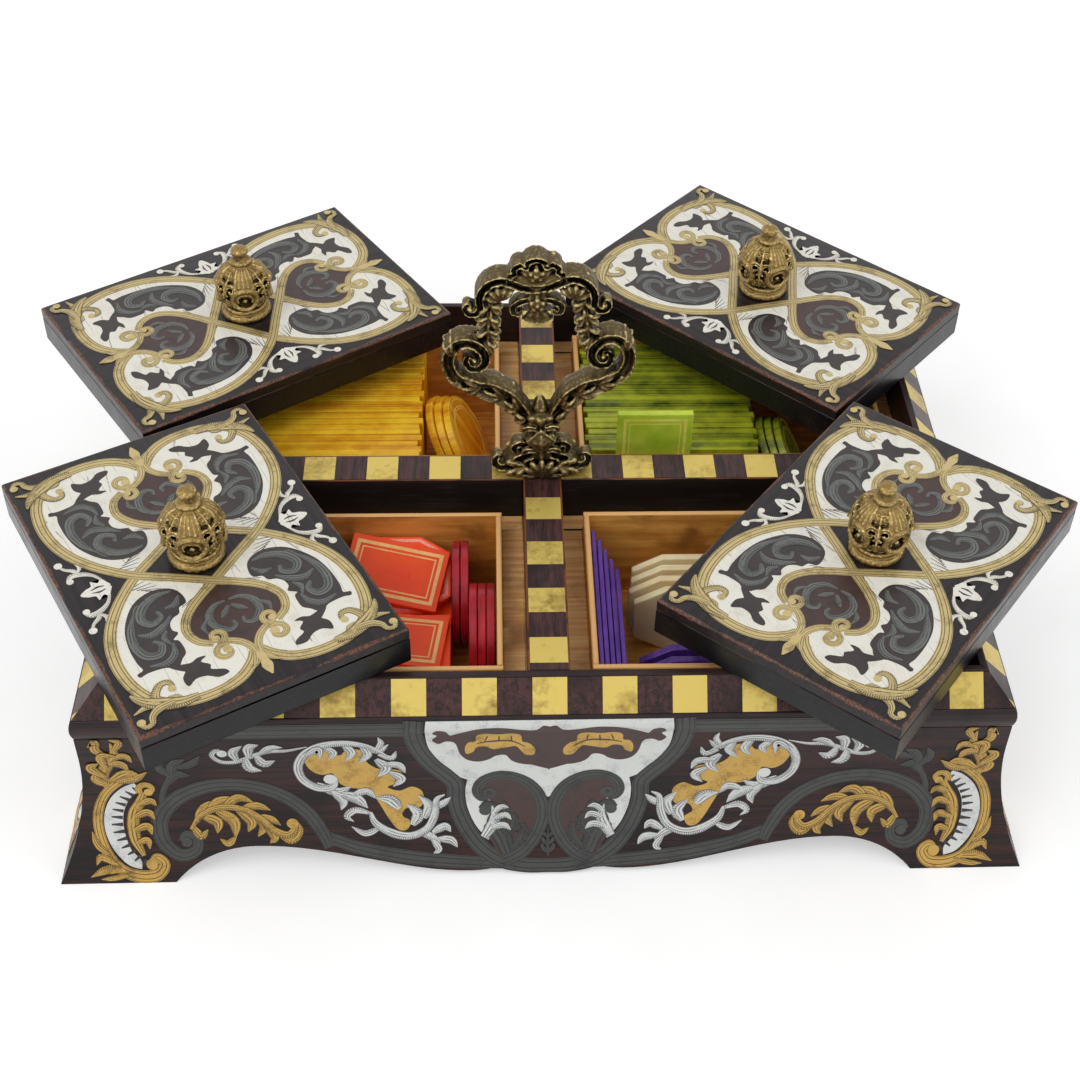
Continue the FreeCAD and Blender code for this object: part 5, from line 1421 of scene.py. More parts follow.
@dataclass
class LidInlay(Drawing):
    """A lid's inlay, a quarter of it drawn and mirrored: knotwork of brass straps round bone lobes."""
    signs: Sequence[Tuple[int, int]] = ((1, 1), (-1, 1), (1, -1), (-1, -1))

    def draw(self) -> None:
        """Lays the bone and the strap, and all that they frame."""
        strap = [
            (50.5, 1), (54, 3.5), (58, 8.5), (60, 15), (60.2, 22), (59, 28), (56.5, 33), (52, 37), (45, 39.8),
            (36, 40.8), (27, 39.8), (19, 37), (12, 32.7), (6, 27.7), (0, 21.3), (-7, 11), (-14.5, 0.3),
            (-19, -6.5), (-24, -12.5), (-29, -15.8), (-33.5, -16.5), (-38, -14.8), (-41, -11),
        ]
        crossing = 15
        inner = [
            (47, 0.9), (44.5, 3.2), (42, 6.5), (41, 10), (37, 14.5), (31, 16), (25, 14), (20, 9), (14.5, 0.2),
            (7, 11),
        ]
        self.field(Stuff.BONE, 1, 4, strap[:crossing][::-1] + inner)
        self.ribbon(Stuff.BRASS, strap, (4, 4, 4, 4, 4, 3.8, 3.6, 3.4, 3, 2.6), 4)
        self.junction()
        self.island()
        self.heart()
        self.corner_leaf()
        self.spray()
        self.hatching()

    def junction(self) -> None:
        """Where the loops meet at the lid's ends: volutes and a bud."""
        self.ribbon(
            Stuff.BRASS, [(41, 10), (42, 6.5), (44.5, 3.2), (48, 1.2), (52, 0.8)], (2.4, 2.5, 2.6, 2.6), 5,
        )
        self.curl(Stuff.BRASS, (38.6, 9.2), (3, 1), (-20, -330), (2.2, 2, 1.6), 5)
        self.curl(Stuff.BRASS, (46, 9), (3.6, 1.2), (215, -130), (2, 2.2, 1.8), 5)
        self.ribbon(Stuff.BRASS, [(51, 0.8), (54.8, 2.2), (57.4, 4.6)], (2, 2.6, 0.5), 5, Cut.LOBE)
        self.field(Stuff.BRASS, 6, 5, [
            (51, -0.1), (52.6, 1.4), (55.4, 1.3), (57.8, 1.8), (60.4, 0.9), (61.4, -0.1),
        ])

    def island(self) -> None:
        """Inside each bone lobe: a dark kidney with a pewter scroll, and a dark tulip on a stem."""
        self.field(Stuff.EBONY, 2, 3, [
            (9.5, 17), (9.5, 22), (12, 27), (17, 31), (23, 33.8), (30, 35), (37, 35), (40.5, 34.4),
            (41.4, 36.6), (43, 36.2), (42.5, 34), (42.5, 31.5), (43, 28), (44.5, 25.5), (44, 23.5), (42, 22),
            (40, 20), (36, 19.8), (34, 20.2), (33, 21.4), (31, 19), (29, 20.2), (26, 19.8), (24, 18),
            (23, 15.5), (20.5, 14.5), (19.5, 11.8), (16, 11.5), (12, 13),
        ])
        self.strokes(
            Stuff.PEWTER, 3,
            (
                (1, 3.2, 4, 3.6, 3.2, 2.4, 1.4), (12.4, 14.4), (12.2, 19.6), (15, 24.8), (20, 27.2),
                (23.4, 24.8), (21.8, 21.2), (18.8, 21.6),
            ),
            (
                (0.8, 2.8, 3.6, 3.8, 3.4, 2.6, 1.4), (16.6, 28.4), (22.4, 31.6), (29.4, 33), (35.4, 31.4),
                (36.8, 27.4), (33.4, 25.4), (30.6, 27.4),
            ),
            ((0.8, 3.2, 3.2, 0.8), (22.6, 18.2), (26.2, 22.2), (27.8, 26.6), (25.8, 30.6)),
            ((0.8, 2.8, 3, 0.8), (34.4, 22), (38.8, 23.2), (41.4, 26.8), (40.2, 32)),
            ((1, 3, 0.8), (15.4, 12.8), (18.6, 15.2), (18.8, 18.8)),
            ((0.8, 2.6, 0.6), (28.2, 21.8), (31, 23.6), (34.6, 22.6)),
            ((0.6, 2.2, 0.6), (12.6, 22), (14.4, 26.6), (18.4, 29.2)),
        )
        self.field(Stuff.EBONY, 2, 3, [
            (44, 24.5), (47, 23), (50, 25), (53.8, 24.6), (52, 21.5), (52.5, 18), (54.8, 15), (54.5, 11.5),
            (52.5, 12.2), (50.5, 15.8), (48.5, 15.3), (46, 17.5), (44.5, 15.2), (44, 18), (45, 20.5),
        ])
        self.ribbon(Stuff.EBONY, [(42, 27), (44.6, 25.2), (48, 21)], (1.4, 1.6, 2.4), 2, Cut.FIELD)

    def heart(self) -> None:
        """Inside each inner loop: rosewood with a pewter heart of two scrolls and a bud."""
        self.field(Stuff.ROSEWOOD, 1, 4, [
            (14.4, -0.05), (20, 8.4), (25, 13.2), (31, 15.4), (37, 13.8), (40.4, 9.6), (42, 6), (44.6, 2.6),
            (48, -0.05),
        ])
        self.strokes(
            Stuff.PEWTER, 2,
            (
                (1, 2.4, 3.2, 3.2, 2.6, 1.8, 1.2), (25, 0.7), (25.6, 4.6), (29.2, 7.8), (34.2, 7.6),
                (37.6, 4.4), (36.8, 1.8), (34.4, 1.8),
            ),
            ((1.4, 2.6, 0.8), (27.6, 0.5), (30, 2.6), (31.8, 4.4)),
            ((1, 2.2, 0.6), (30.4, 9), (33, 11.2), (36.4, 10.8)),
        )

    def corner_leaf(self) -> None:
        """On each corner: a brass acanthus with a bent tip, a ball-ended tip, a leaf and a curl."""
        self.strokes(
            Stuff.BRASS, 5,
            (
                (2.6, 4.4, 5.2, 4.2, 2.6, 0.8), (58.9, 23), (58.8, 28.6), (57, 33.4), (54.4, 37.6),
                (51.4, 40.4), (48.6, 41.8),
            ),
            (
                (2.6, 3.2, 2.4, 1.9, 1.8, 1.6), (57.4, 30.6), (57.8, 35.6), (59.8, 38.6), (62.4, 39.6),
                (63, 41.8), (61, 43.2),
            ),
            ((2.4, 2.8, 0.6), (57.2, 33.2), (55.4, 38.4), (56.6, 43.4)),
            (
                (3.2, 3.2, 2.8, 2.4, 2, 1.6), (57.2, 34.2), (54.6, 35.4), (51.8, 34.8), (49, 32.4),
                (49, 29.6), (51.4, 28.8),
            ),
            ((1.2, 2.2, 0.6), (58.6, 27.4), (56, 29.4), (54.8, 31.8)),
        )
        self.dot(Stuff.BRASS, (60.6, 42.6), 1.4, 6)
        self.dot(Stuff.BRASS, (52, 29.4), 1.3, 6)

    def spray(self) -> None:
        """At the middle of each long side: a bone bud with a branch each way that ends in a curl."""
        self.field(Stuff.BONE, 2, 5, [
            (-0.1, 30.6), (2.2, 30.7), (4.4, 32), (3, 33.4), (4.6, 35.4), (2.5, 35.9), (1.7, 38.2),
            (-0.1, 39.8),
        ])
        self.ribbon(Stuff.EBONY, [(0.8, 32), (1.2, 34.2), (0.6, 36.6)], (0.3, 0.8, 0.2), 3, Cut.FIELD)
        self.strokes(
            Stuff.BONE, 2,
            ((0.9, 1.4, 2.2, 2.4, 1.2), (4, 31.8), (7.2, 33.6), (9.4, 36.6), (10, 39.8), (8.4, 41.6)),
            ((0.9, 1.8, 1.2, 0.9), (9.4, 37), (12.2, 38.4), (14.2, 40.8), (16.8, 42.2)),
            ((0.9, 1.6, 0.6), (10.4, 38), (12.6, 36.2), (15, 36.8)),
        )
        self.dot(Stuff.BONE, (16.8, 42), 1.4, 3)
        self.dot(Stuff.BONE, (7.8, 41), 1.2, 3)

    def hatching(self) -> None:
        """Graver's lines in the bone, fanned out from the crossings of the straps."""
        lines, reach = 7, 6.5
        for origin, rise, way, opening in (((5, 26), -1.2, (0.42, -1), 10), ((13.5, 2), 1, (1, 0.9), 9)):
            base = math.atan2(way[1], way[0])
            for step in range(lines):
                angle = base + math.radians(opening) * (step - lines / 2)
                start = (origin[0] + 0.8 * step, origin[1] + rise * step)
                end = (start[0] + reach * math.cos(angle), start[1] + reach * math.sin(angle))
                self.ribbon(Stuff.EBONY, [start, end], (0.35, 0.12), 2, Cut.FIELD)


@dataclass
class Lid:
    """One lift-off lid: inlaid board, mitred frame, cast knob and the screw that holds it."""
    quarter: str
    turn: float
    top: float = 95.7
    arris: float = 91.1
    ease: float = 0.5
    brass_tones: Tuple[Colour, Colour] = ((208, 187, 130), (140, 121, 76))

    def __post_init__(self) -> None:
        """Reads the lid's middle from its screw."""
        self.body = f"lid_{self.quarter}"
        low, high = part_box(f"lid_screw_{self.quarter}")
        half = 0.5 / MM
        self.centre = (half * (low.x + high.x), half * (low.y + high.y))

    def build(self) -> None:
        """Dresses the board, frame, screw and knob, and lays the inlay."""
        board = LidBoardWood(f"lid_ground_{self.quarter}", self.centre, self.turn)
        softened(f"lid_board_{self.quarter}", board, self.ease, self.body, "lid_marquetry")
        name = f"ebonised_lid_{self.quarter}"
        edges = Ebonised(name, (17, 17, 20), (84, 56, 44), self.turn, (self.arris,), 0.28)
        softened(f"lid_frame_{self.quarter}", edges, self.ease, self.body, "ebonised_wood")
        dress(frame["nodes"][f"lid_screw_{self.quarter}"], Iron())
        finishes = inlay_finishes("lid", self.brass_tones, ((112, 114, 110), (74, 76, 75)), 0.3)
        inlay = LidInlay()
        inlay.draw()
        inlay.pieces(self.body, self.body, self.place, finishes, "lid_marquetry")
        Knob().build(self.quarter, self.place)

    def place(self, rows: np.ndarray) -> np.ndarray:
        """Turns and moves rows of (u, v, lift) on to the lid's top.

        Args:
            rows: The rows.

        Returns:
            Rows of X, Y and Z.
        """
        turn = math.radians(self.turn)
        u, v, lift = rows.T
        x = self.centre[0] + u * math.cos(turn) - v * math.sin(turn)
        y = self.centre[1] + u * math.sin(turn) + v * math.cos(turn)
        return np.column_stack([x, y, self.top + lift])


# ---------------------------------------------------------------- cast bronze

def section(*quarter: Spot) -> List[Spot]:
    """A closed section from its left upper quarter of (across, depth) points, mirrored twice."""
    upper = [*quarter, *((-across, depth) for across, depth in quarter[-2::-1])]
    return upper + [(across, -depth) for across, depth in upper[-2:0:-1]]


TROUGH = section((-1, 0), (-0.96, 0.62), (-0.8, 1), (-0.58, 0.86), (-0.34, 0.5), (0, 0.36))
RIBBED = section((-1, 0), (-0.86, 0.5), (-0.62, 0.72), (-0.4, 0.66), (-0.2, 0.9), (0, 1))


@dataclass
class Casting:
    """Scrolls, leaves and turned forms of one cast piece, gathered as closed shells in millimetres."""
    soup: Soup = field(default_factory=Soup)
    grain: float = 1.5
    roughness: float = 0.42

    def sweep(
        self, path: Points, widths: Sequence[float], depths: Sequence[float], section: Points = TROUGH,
        face: Place = (0, 1, 0), lumps: float = 0.0, pitch: float = 3.0,
    ) -> None:
        """Carries a section along a path: path(s) + across(s) * width(s) * a + up(s) * depth(s) * b.

        Lumps swell the section (a, b) once for each pitch, as leaf lobes do. The ends close on their middles.

        Args:
            path: Points of the path.
            widths: Half widths in the path's own plane.
            depths: Half depths along the face direction.
            section: The section's points, counter-clockwise or clockwise.
            face: The direction that the piece's face looks in.
            lumps: Share by which the lobes swell.
            pitch: Length of a lobe.
        """
        line = smooth_line(path, SPAN)
        run = travelled(line)
        swell = 1 + lumps * (np.abs(np.sin(np.pi * run / pitch)) - 0.6)
        half_width = spread(widths, len(line)) * swell
        half_depth = spread(depths, len(line)) * (1 + 0.5 * (swell - 1))
        way = along(line)
        out = np.asarray(face, float)
        across = np.cross(way, out)
        across /= np.maximum(np.linalg.norm(across, axis=1, keepdims=True), 1e-9)
        up = np.cross(across, way)
        shape = np.asarray(section, float)
        grid = (
            line[:, None, :]
            + across[:, None, :] * (half_width[:, None] * shape[None, :, 0])[:, :, None]
            + up[:, None, :] * (half_depth[:, None] * shape[None, :, 1])[:, :, None]
        )
        self.close(grid)

    def close(self, grid: np.ndarray) -> None:
        """Adds a tube of rings, closed at both ends on the rings' middles, its faces turned outwards.

        Args:
            grid: Rings of points, as (ring, point, axis).
        """
        rings, sides = grid.shape[:2]
        points = np.vstack([grid.reshape(-1, 3), grid[0].mean(axis=0), grid[-1].mean(axis=0)])
        faces = grid_faces(rings, sides, wrap=True).tolist()
        first, last = rings * sides, rings * sides + 1
        for index in range(sides):
            following = (index + 1) % sides
            faces.append([first, following, index])
            faces.append([last, (rings - 1) * sides + index, (rings - 1) * sides + following])
        corners = points[[face[:3] for face in faces]]
        volume = np.einsum("ij,ij->i", corners[:, 0], np.cross(corners[:, 1], corners[:, 2])).sum()
        self.soup.add(points, faces if volume > 0 else [face[::-1] for face in faces])

    def ball(self, centre: Place, radii: Place, steps: int = 14) -> None:
        """A ball or egg: centre + radii * (sin a cos b, sin a sin b, cos a).

        Args:
            centre: Its middle.
            radii: Half its size along each axis.
            steps: Points round it.
        """
        polar = np.linspace(0.04, math.pi - 0.04, steps // 2 + 2)[:, None]
        turn = np.linspace(0, 2 * math.pi, steps, endpoint=False)[None, :]
        unit = np.broadcast_arrays(np.sin(polar) * np.cos(turn), np.sin(polar) * np.sin(turn), np.cos(polar))
        self.close(np.asarray(centre) + np.stack(unit, axis=2) * np.asarray(radii))

    def spun(self, profile: Points, lobes: int = 0, depth: float = 0.0) -> None:
        """A turned form about Z: radius(t) * (1 + depth * |cos(lobes * b / 2)|), height(t).

        Args:
            profile: (radius, height) from the bottom up.
            lobes: Swellings round the form.
            depth: Share by which they swell.
        """
        line = smooth_line(profile, 4)
        turn = np.linspace(0, 2 * math.pi, 48, endpoint=False)
        swell = 1 + depth * (np.abs(np.cos(lobes * turn / 2)) - 0.5)
        radius = np.maximum(line[:, :1], 0.02) * swell[None, :]
        height = np.broadcast_to(line[:, 1:], radius.shape)
        self.close(np.stack([radius * np.cos(turn), radius * np.sin(turn), height], axis=2))

    def petals(
        self, root: Place, tips: Sequence[Place], width: float, depth: float, lift: float, face: Place,
    ) -> None:
        """Leaf fingers that fan from one root, each arched towards its face and rolled over at its tip.

        Args:
            root: Where they spring from.
            tips: Where each ends.
            width: Half width of a finger.
            depth: Half depth of a finger.
            lift: How far a finger's back stands out.
            face: The side to which it arches.
        """
        start, out = np.asarray(root, float), np.asarray(face, float)
        for tip in np.asarray(tips, float):
            reach = tip - start
            arch = [
                start + share * reach + lift * rise * out
                for share, rise in ((0.35, 0.8), (0.72, 1), (0.96, 0.5))
            ]
            widths = (width * 0.6, width, width * 1.05, width * 0.9, width * 0.5)
            depths = (depth, depth, depth, depth * 0.9, depth * 0.6)
            self.sweep([start, *arch, tip - 0.04 * reach - lift * 0.3 * out], widths, depths, RIBBED, face)

    def finished(self, name: str, finish: Finish, body: str, node: str, place: Bend, detail: float) -> None:
        """Fuses the shells into one cast piece, as metal runs together in a mould.

        Args:
            name: The piece's name.
            finish: Its finish.
            body: The body that it moves with.
            node: The CAD node that it stands for.
            place: Puts rows of points where the piece stands.
            detail: Size in millimetres of the smallest detail that stays.
        """
        placed = Soup([place(np.vstack(self.soup.points))], self.soup.faces, self.soup.marks, self.soup.count)
        made = piece(name, placed.mesh(name), finish, body, (node,), "bronze")
        fused = made.modifiers.new("fused", "REMESH")
        fused.mode = "VOXEL"
        fused.voxel_size = detail * MM
        fused.use_smooth_shade = True
        eased = made.modifiers.new("fettled", "SMOOTH")
        eased.factor = 0.5
        eased.iterations = 1
        grain = bpy.data.textures.new(f"{name}_grain", "CLOUDS")
        grain.noise_scale = self.grain * MM
        grain.noise_depth = 2
        rough = made.modifiers.new("rough_casting", "DISPLACE")
        rough.texture = grain
        rough.texture_coords = "LOCAL"
        rough.strength = self.roughness * MM
        rough.mid_level = 0.62


def at(side: int, y: float, *places: Spot) -> List[Place]:
    """Points from (x, z) pairs at one depth, on the left or the right side."""
    return [(side * x, y, z) for x, z in places]


class HandleScrolls(Casting):
    """The handle's C-scrolls, stems, leaves, arch, crest and pendant."""

    def scrolls(self, side: int) -> None:
        """The large C, the arch's S-band with its small volute, and the pendant's curls.

        Args:
            side: -1 for the left, 1 for the right.
        """
        self.sweep(
            at(
                side, 0, (22.4, 54), (24.4, 54.6), (25.4, 52.4), (23.8, 49.8), (20.8, 50), (18.6, 53),
                (19.2, 57.4), (22.8, 60.8), (27.4, 60.8), (30.8, 57), (31.6, 51.2), (29.4, 45.6),
                (24.6, 41.8),
            ),
            (0.9, 1.1, 1.4, 1.7, 1.9, 2.1, 2.3, 2.5, 2.6, 2.7, 2.9, 3.2),
            (3, 3.6, 4.2, 4.6, 4.8, 4.8, 4.6, 4.4, 4.2),
        )
        self.ball((side * 22.4, 0, 53), (1.4, 4.4, 1.4))
        self.sweep(
            at(
                side, 0, (28.2, 45.4), (23.6, 41.6), (17.6, 39.6), (12.2, 36.2), (8.2, 31.2), (5.4, 25.8),
                (3.6, 21),
            ),
            (2.6, 3.9, 4.6, 4.5, 3.7, 2.9, 2.4), (3.4, 4.4, 4.8, 4.8, 4.4, 4, 3.6), lumps=0.1, pitch=8.0,
        )
        self.sweep(
            at(
                side, 0, (22.4, 75.2), (23.8, 76.2), (24.6, 74.8), (23.2, 73), (20.8, 73.4), (19.4, 75.8),
                (19.6, 79), (18.6, 82.6), (15.8, 85.6), (12, 86.8), (8, 85.4), (4.2, 83.6), (-0.5, 83),
            ),
            (0.7, 1, 1.3, 1.5, 1.6, 1.8, 1.9, 2, 2, 1.8), (2.4, 3.2, 3.8, 4.2, 4.6, 4.8, 4.8, 4.8, 4.6, 4.4),
        )
        self.ball((side * 22.6, 0, 74.9), (1.2, 4, 1.2))
        self.sweep(
            at(side, 0, (2.6, 77.4), (5.6, 77), (8.2, 75), (8, 72.2), (6, 71.4), (5.2, 73)),
            (1.3, 1.5, 1.5, 1.3, 0.9, 0.7), (2.8, 3.2, 3.2, 2.8, 2.2, 1.8),
        )
        for face in (-1, 1):
            tips = at(side, face * 1.8, (8.2, 82.8), (10.6, 84), (13.4, 84.2), (16, 82.6), (17.2, 79.8))
            self.petals((side * 12.4, face * 1.6, 78.4), tips, 1.0, 1.4, 2.0, (0, face, 0))

    def leaves(self, side: int) -> None:
        """The knobbly stems and the leaves along the C's back and arm.

        Args:
            side: -1 for the left, 1 for the right.
        """
        self.sweep(
            at(side, 0, (15.4, 84.2), (16.4, 79), (15.8, 73.4), (17, 67.6), (17.4, 62.4), (19.6, 57.6)),
            (1.7, 2.2, 1.9, 2.3, 1.9, 1.7), (3, 3.8, 3.4, 4, 3.6, 3), RIBBED, lumps=0.5, pitch=4.6,
        )
        for root, tips in (
            ((16.2, 76.6), ((12.2, 75.8), (12.8, 72.8), (19.6, 73.6))),
            ((16.6, 71.6), ((13.2, 69.6), (14, 66.8), (20.8, 70.6), (20.6, 67))),
            ((17.2, 66), ((13.4, 64.8), (13.8, 61.8), (20.8, 63.6))),
            ((17.8, 61.4), ((14.6, 58.8), (16, 56.2))),
            ((20.6, 41), ((27.8, 41), (25.4, 38.6), (26.4, 44.6))),
            ((13, 36.6), ((19.6, 39.4), (19.4, 35), (17.4, 43.6))),
            ((7.6, 30.4), ((12.4, 34.4), (12.4, 30.2), (9.6, 37.2))), ((5.2, 25.6), ((8.8, 28.6), (8.8, 25))),
            ((30.4, 55.4), ((32.6, 59.6), (30.2, 62))),
        ):
            for face in (-1, 1):
                self.petals(
                    at(side, face * 1.4, root)[0], at(side, face * 1.2, *tips), 0.85, 1.3, 2.2, (0, face, 0),
                )

    def crest(self) -> None:
        """A shell of fingers round a flower over the arch; the block below has its own flower."""
        flower = 2.5
        for face in (-1, 1):
            tips = at(1, face * 1.6, (-6.2, 87.4), (-4.6, 90.2), (0, 92), (4.6, 90.2), (6.2, 87.4))
            self.petals((0, face * 1.6, 84), tips, 1.3, 1.5, 1.0, (0, face, 0))
            for height in (88.8, 76.6):
                for angle in np.radians(np.arange(0, 360, 72) + 90):
                    petal = (
                        flower * 0.75 * math.cos(angle), face * 3.7, height + flower * 0.75 * math.sin(angle),
                    )
                    self.ball(petal, (flower * 0.46, 1.2, flower * 0.46), 8)
                self.ball((0, face * 4.4, height), (flower * 0.4, 1, flower * 0.4), 8)
        half = [
            (8, 84.6), (9.2, 86.2), (9, 88.4), (7.4, 89.2), (7.4, 89.2), (7.6, 91), (5.6, 92.6), (3.4, 91.6),
            (3.4, 91.6), (2.6, 93.8),
        ]
        scallops = [(-x, 0, z) for x, z in half] + [(0, 0, 94.8)] + [(x, 0, z) for x, z in reversed(half)]
        self.sweep(scallops, (0.9, 1.3, 1.3, 1.3, 1.3, 1.3, 0.9), (2.6, 4.2, 4.4, 4.6, 4.4, 4.2, 2.6))
        block = [(0, 0, height) for height in (85, 80.6, 76.2, 72.4, 70, 68.2)]
        self.sweep(block, (3.6, 3.2, 4, 3, 4.4, 4.8), (3.4, 3.4, 3.4, 3, 2.8, 2.6), RIBBED)
        self.sweep([(-5.6, 0, 68.8), (0, 0, 67.8), (5.6, 0, 68.8)], (0.7, 1, 0.7), (2.4, 3, 2.4), RIBBED)


class HandleFoot(Casting):
    """The handle's nailed neck and leafy base."""

    def neck(self) -> None:
        """The neck: bud, cup, nail-heads set cornerwise front and back, and a bead ring."""
        self.spun(
            [
                (6.4, 1), (5.6, 4), (4.8, 8), (4.4, 11.4), (5, 13.6), (5.4, 17.6), (4.8, 21), (3.8, 22.6),
                (5, 24.2), (5.6, 26.6), (4.6, 27.6), (2.6, 27.8),
            ],
            lobes=8, depth=0.16,
        )
        self.spun([(2.6, 27), (3, 29.4), (2.2, 32), (0.9, 34.4), (0.1, 34.9)], lobes=6, depth=0.2)
        turn = np.radians(np.arange(0, 360, 90))
        for face in (-1, 1):
            rings = [
                np.column_stack([size * np.cos(turn), np.full(4, face * reach), 17.6 + size * np.sin(turn)])
                for size, reach in ((5.6, 3.6), (5.6, 6.2), (4.9, 6.6), (3.9, 6.4), (3.7, 6.9), (1, 8.2))
            ]
            self.close(np.stack(rings))
            for side, height in product((-1, 1), (12.4, 22.8)):
                curl = [
                    (side * across, face * depth, height + up)
                    for across, depth, up in (
                        (1.6, 4.6, 0), (4.4, 4.8, 0.6), (6.2, 4, -0.8), (5.2, 3.6, -2.2),
                    )
                ]
                self.sweep(curl, (0.9, 1.2, 1.1, 0.7), (1.4, 1.5, 1.3, 0.9))

    def base(self) -> None:
        """An oval step, a shell front and back, and acanthus fingers that run out to the ends and curl up."""
        turn = np.linspace(0, 2 * math.pi, 40, endpoint=False)

        def oval(reach: float, depth: float, height: float) -> np.ndarray:
            """A ring squarer than an ellipse: x = reach * cos^0.7, y = depth * sin^0.8.

            Args:
                reach: Half its length.
                depth: Half its width.
                height: Its height.

            Returns:
                The points of the ring.
            """
            cosine, sine = np.cos(turn), np.sin(turn)
            x = reach * np.sign(cosine) * np.abs(cosine) ** 0.7
            y = depth * np.sign(sine) * np.abs(sine) ** 0.8
            return np.column_stack([x, y, np.full(len(turn), height)])

        self.close(
            np.stack([oval(15.4, 6.6, 0.05), oval(15.8, 7.0, 0.9), oval(15.2, 6.6, 1.8), oval(9.0, 5.0, 2.6)])
        )
        for face in (-1, 1):
            shell = ((-6.4, 5.4, 4.6), (-3.6, 5.8, 7), (0, 6, 8), (3.6, 5.8, 7), (6.4, 5.4, 4.6))
            tips = [(across, face * depth, height) for across, depth, height in shell]
            self.petals((0, face * 6, 1), tips, 1.2, 1.5, 1.0, (0, face * 0.8, 0.6))
        for side in (-1, 1):
            self.sweep(
                at(
                    side, 0, (3.6, 9.4), (8.4, 7.6), (12.6, 4.2), (15.8, 3.6), (17.2, 5.8), (16, 7.6),
                    (14.4, 6.6),
                ),
                (2.2, 2.4, 2.2, 1.9, 1.6, 1.3, 0.8), (4.6, 5.2, 4.8, 4, 3.4, 2.8, 2),
            )
            self.sweep(
                at(side, 0, (4.2, 12.4), (7.4, 13.4), (9.8, 12), (9.4, 9.8), (7.8, 10.2)),
                (1.2, 1.7, 1.6, 1.3, 0.9), (2.6, 3.2, 3.2, 2.6, 1.8),
            )
            for face in (-1, 1):
                leaf = ((9, 6.4, 2.4), (12.8, 5.4, 2.2), (12.2, 4.6, 7))
                tips = [(side * across, face * depth, height) for across, depth, height in leaf]
                self.petals((side * 5.4, face * 4.2, 4.6), tips, 1.2, 1.4, 1.2, (0, face * 0.8, 0.6))


@dataclass
class Handle:
    """The openwork handle: base, nailed neck, two C-scrolls, leafy stems, arch, crest and pendant."""
    foot: float = 80.0
    detail: float = 0.42
    lean: float = -2.0

    def build(self) -> None:
        """Casts two parts that run into each other: the scrollwork, and the neck with its base."""
        arms, foot = HandleScrolls(), HandleFoot()
        for side in (-1, 1):
            arms.scrolls(side)
            arms.leaves(side)
        arms.crest()
        foot.neck()
        foot.base()
        for name, cast in (("handle_cast", arms), ("handle_foot_cast", foot)):
            cast.finished(name, CastBronze("gilt_bronze_handle"), "case", "handle", self.place, self.detail)

    def place(self, rows: np.ndarray) -> np.ndarray:
        """Turns the rows by the lean about Y and stands them on the divider, none below it.

        Args:
            rows: Rows of X, Y and Z from the foot.

        Returns:
            Rows of X, Y and Z.
        """
        turn = math.radians(self.lean)
        x, y, z = rows.T
        across = x * math.cos(turn) + z * math.sin(turn)
        height = np.maximum(z * math.cos(turn) - x * math.sin(turn), 0.3)
        return np.column_stack([across, y, self.foot + height])


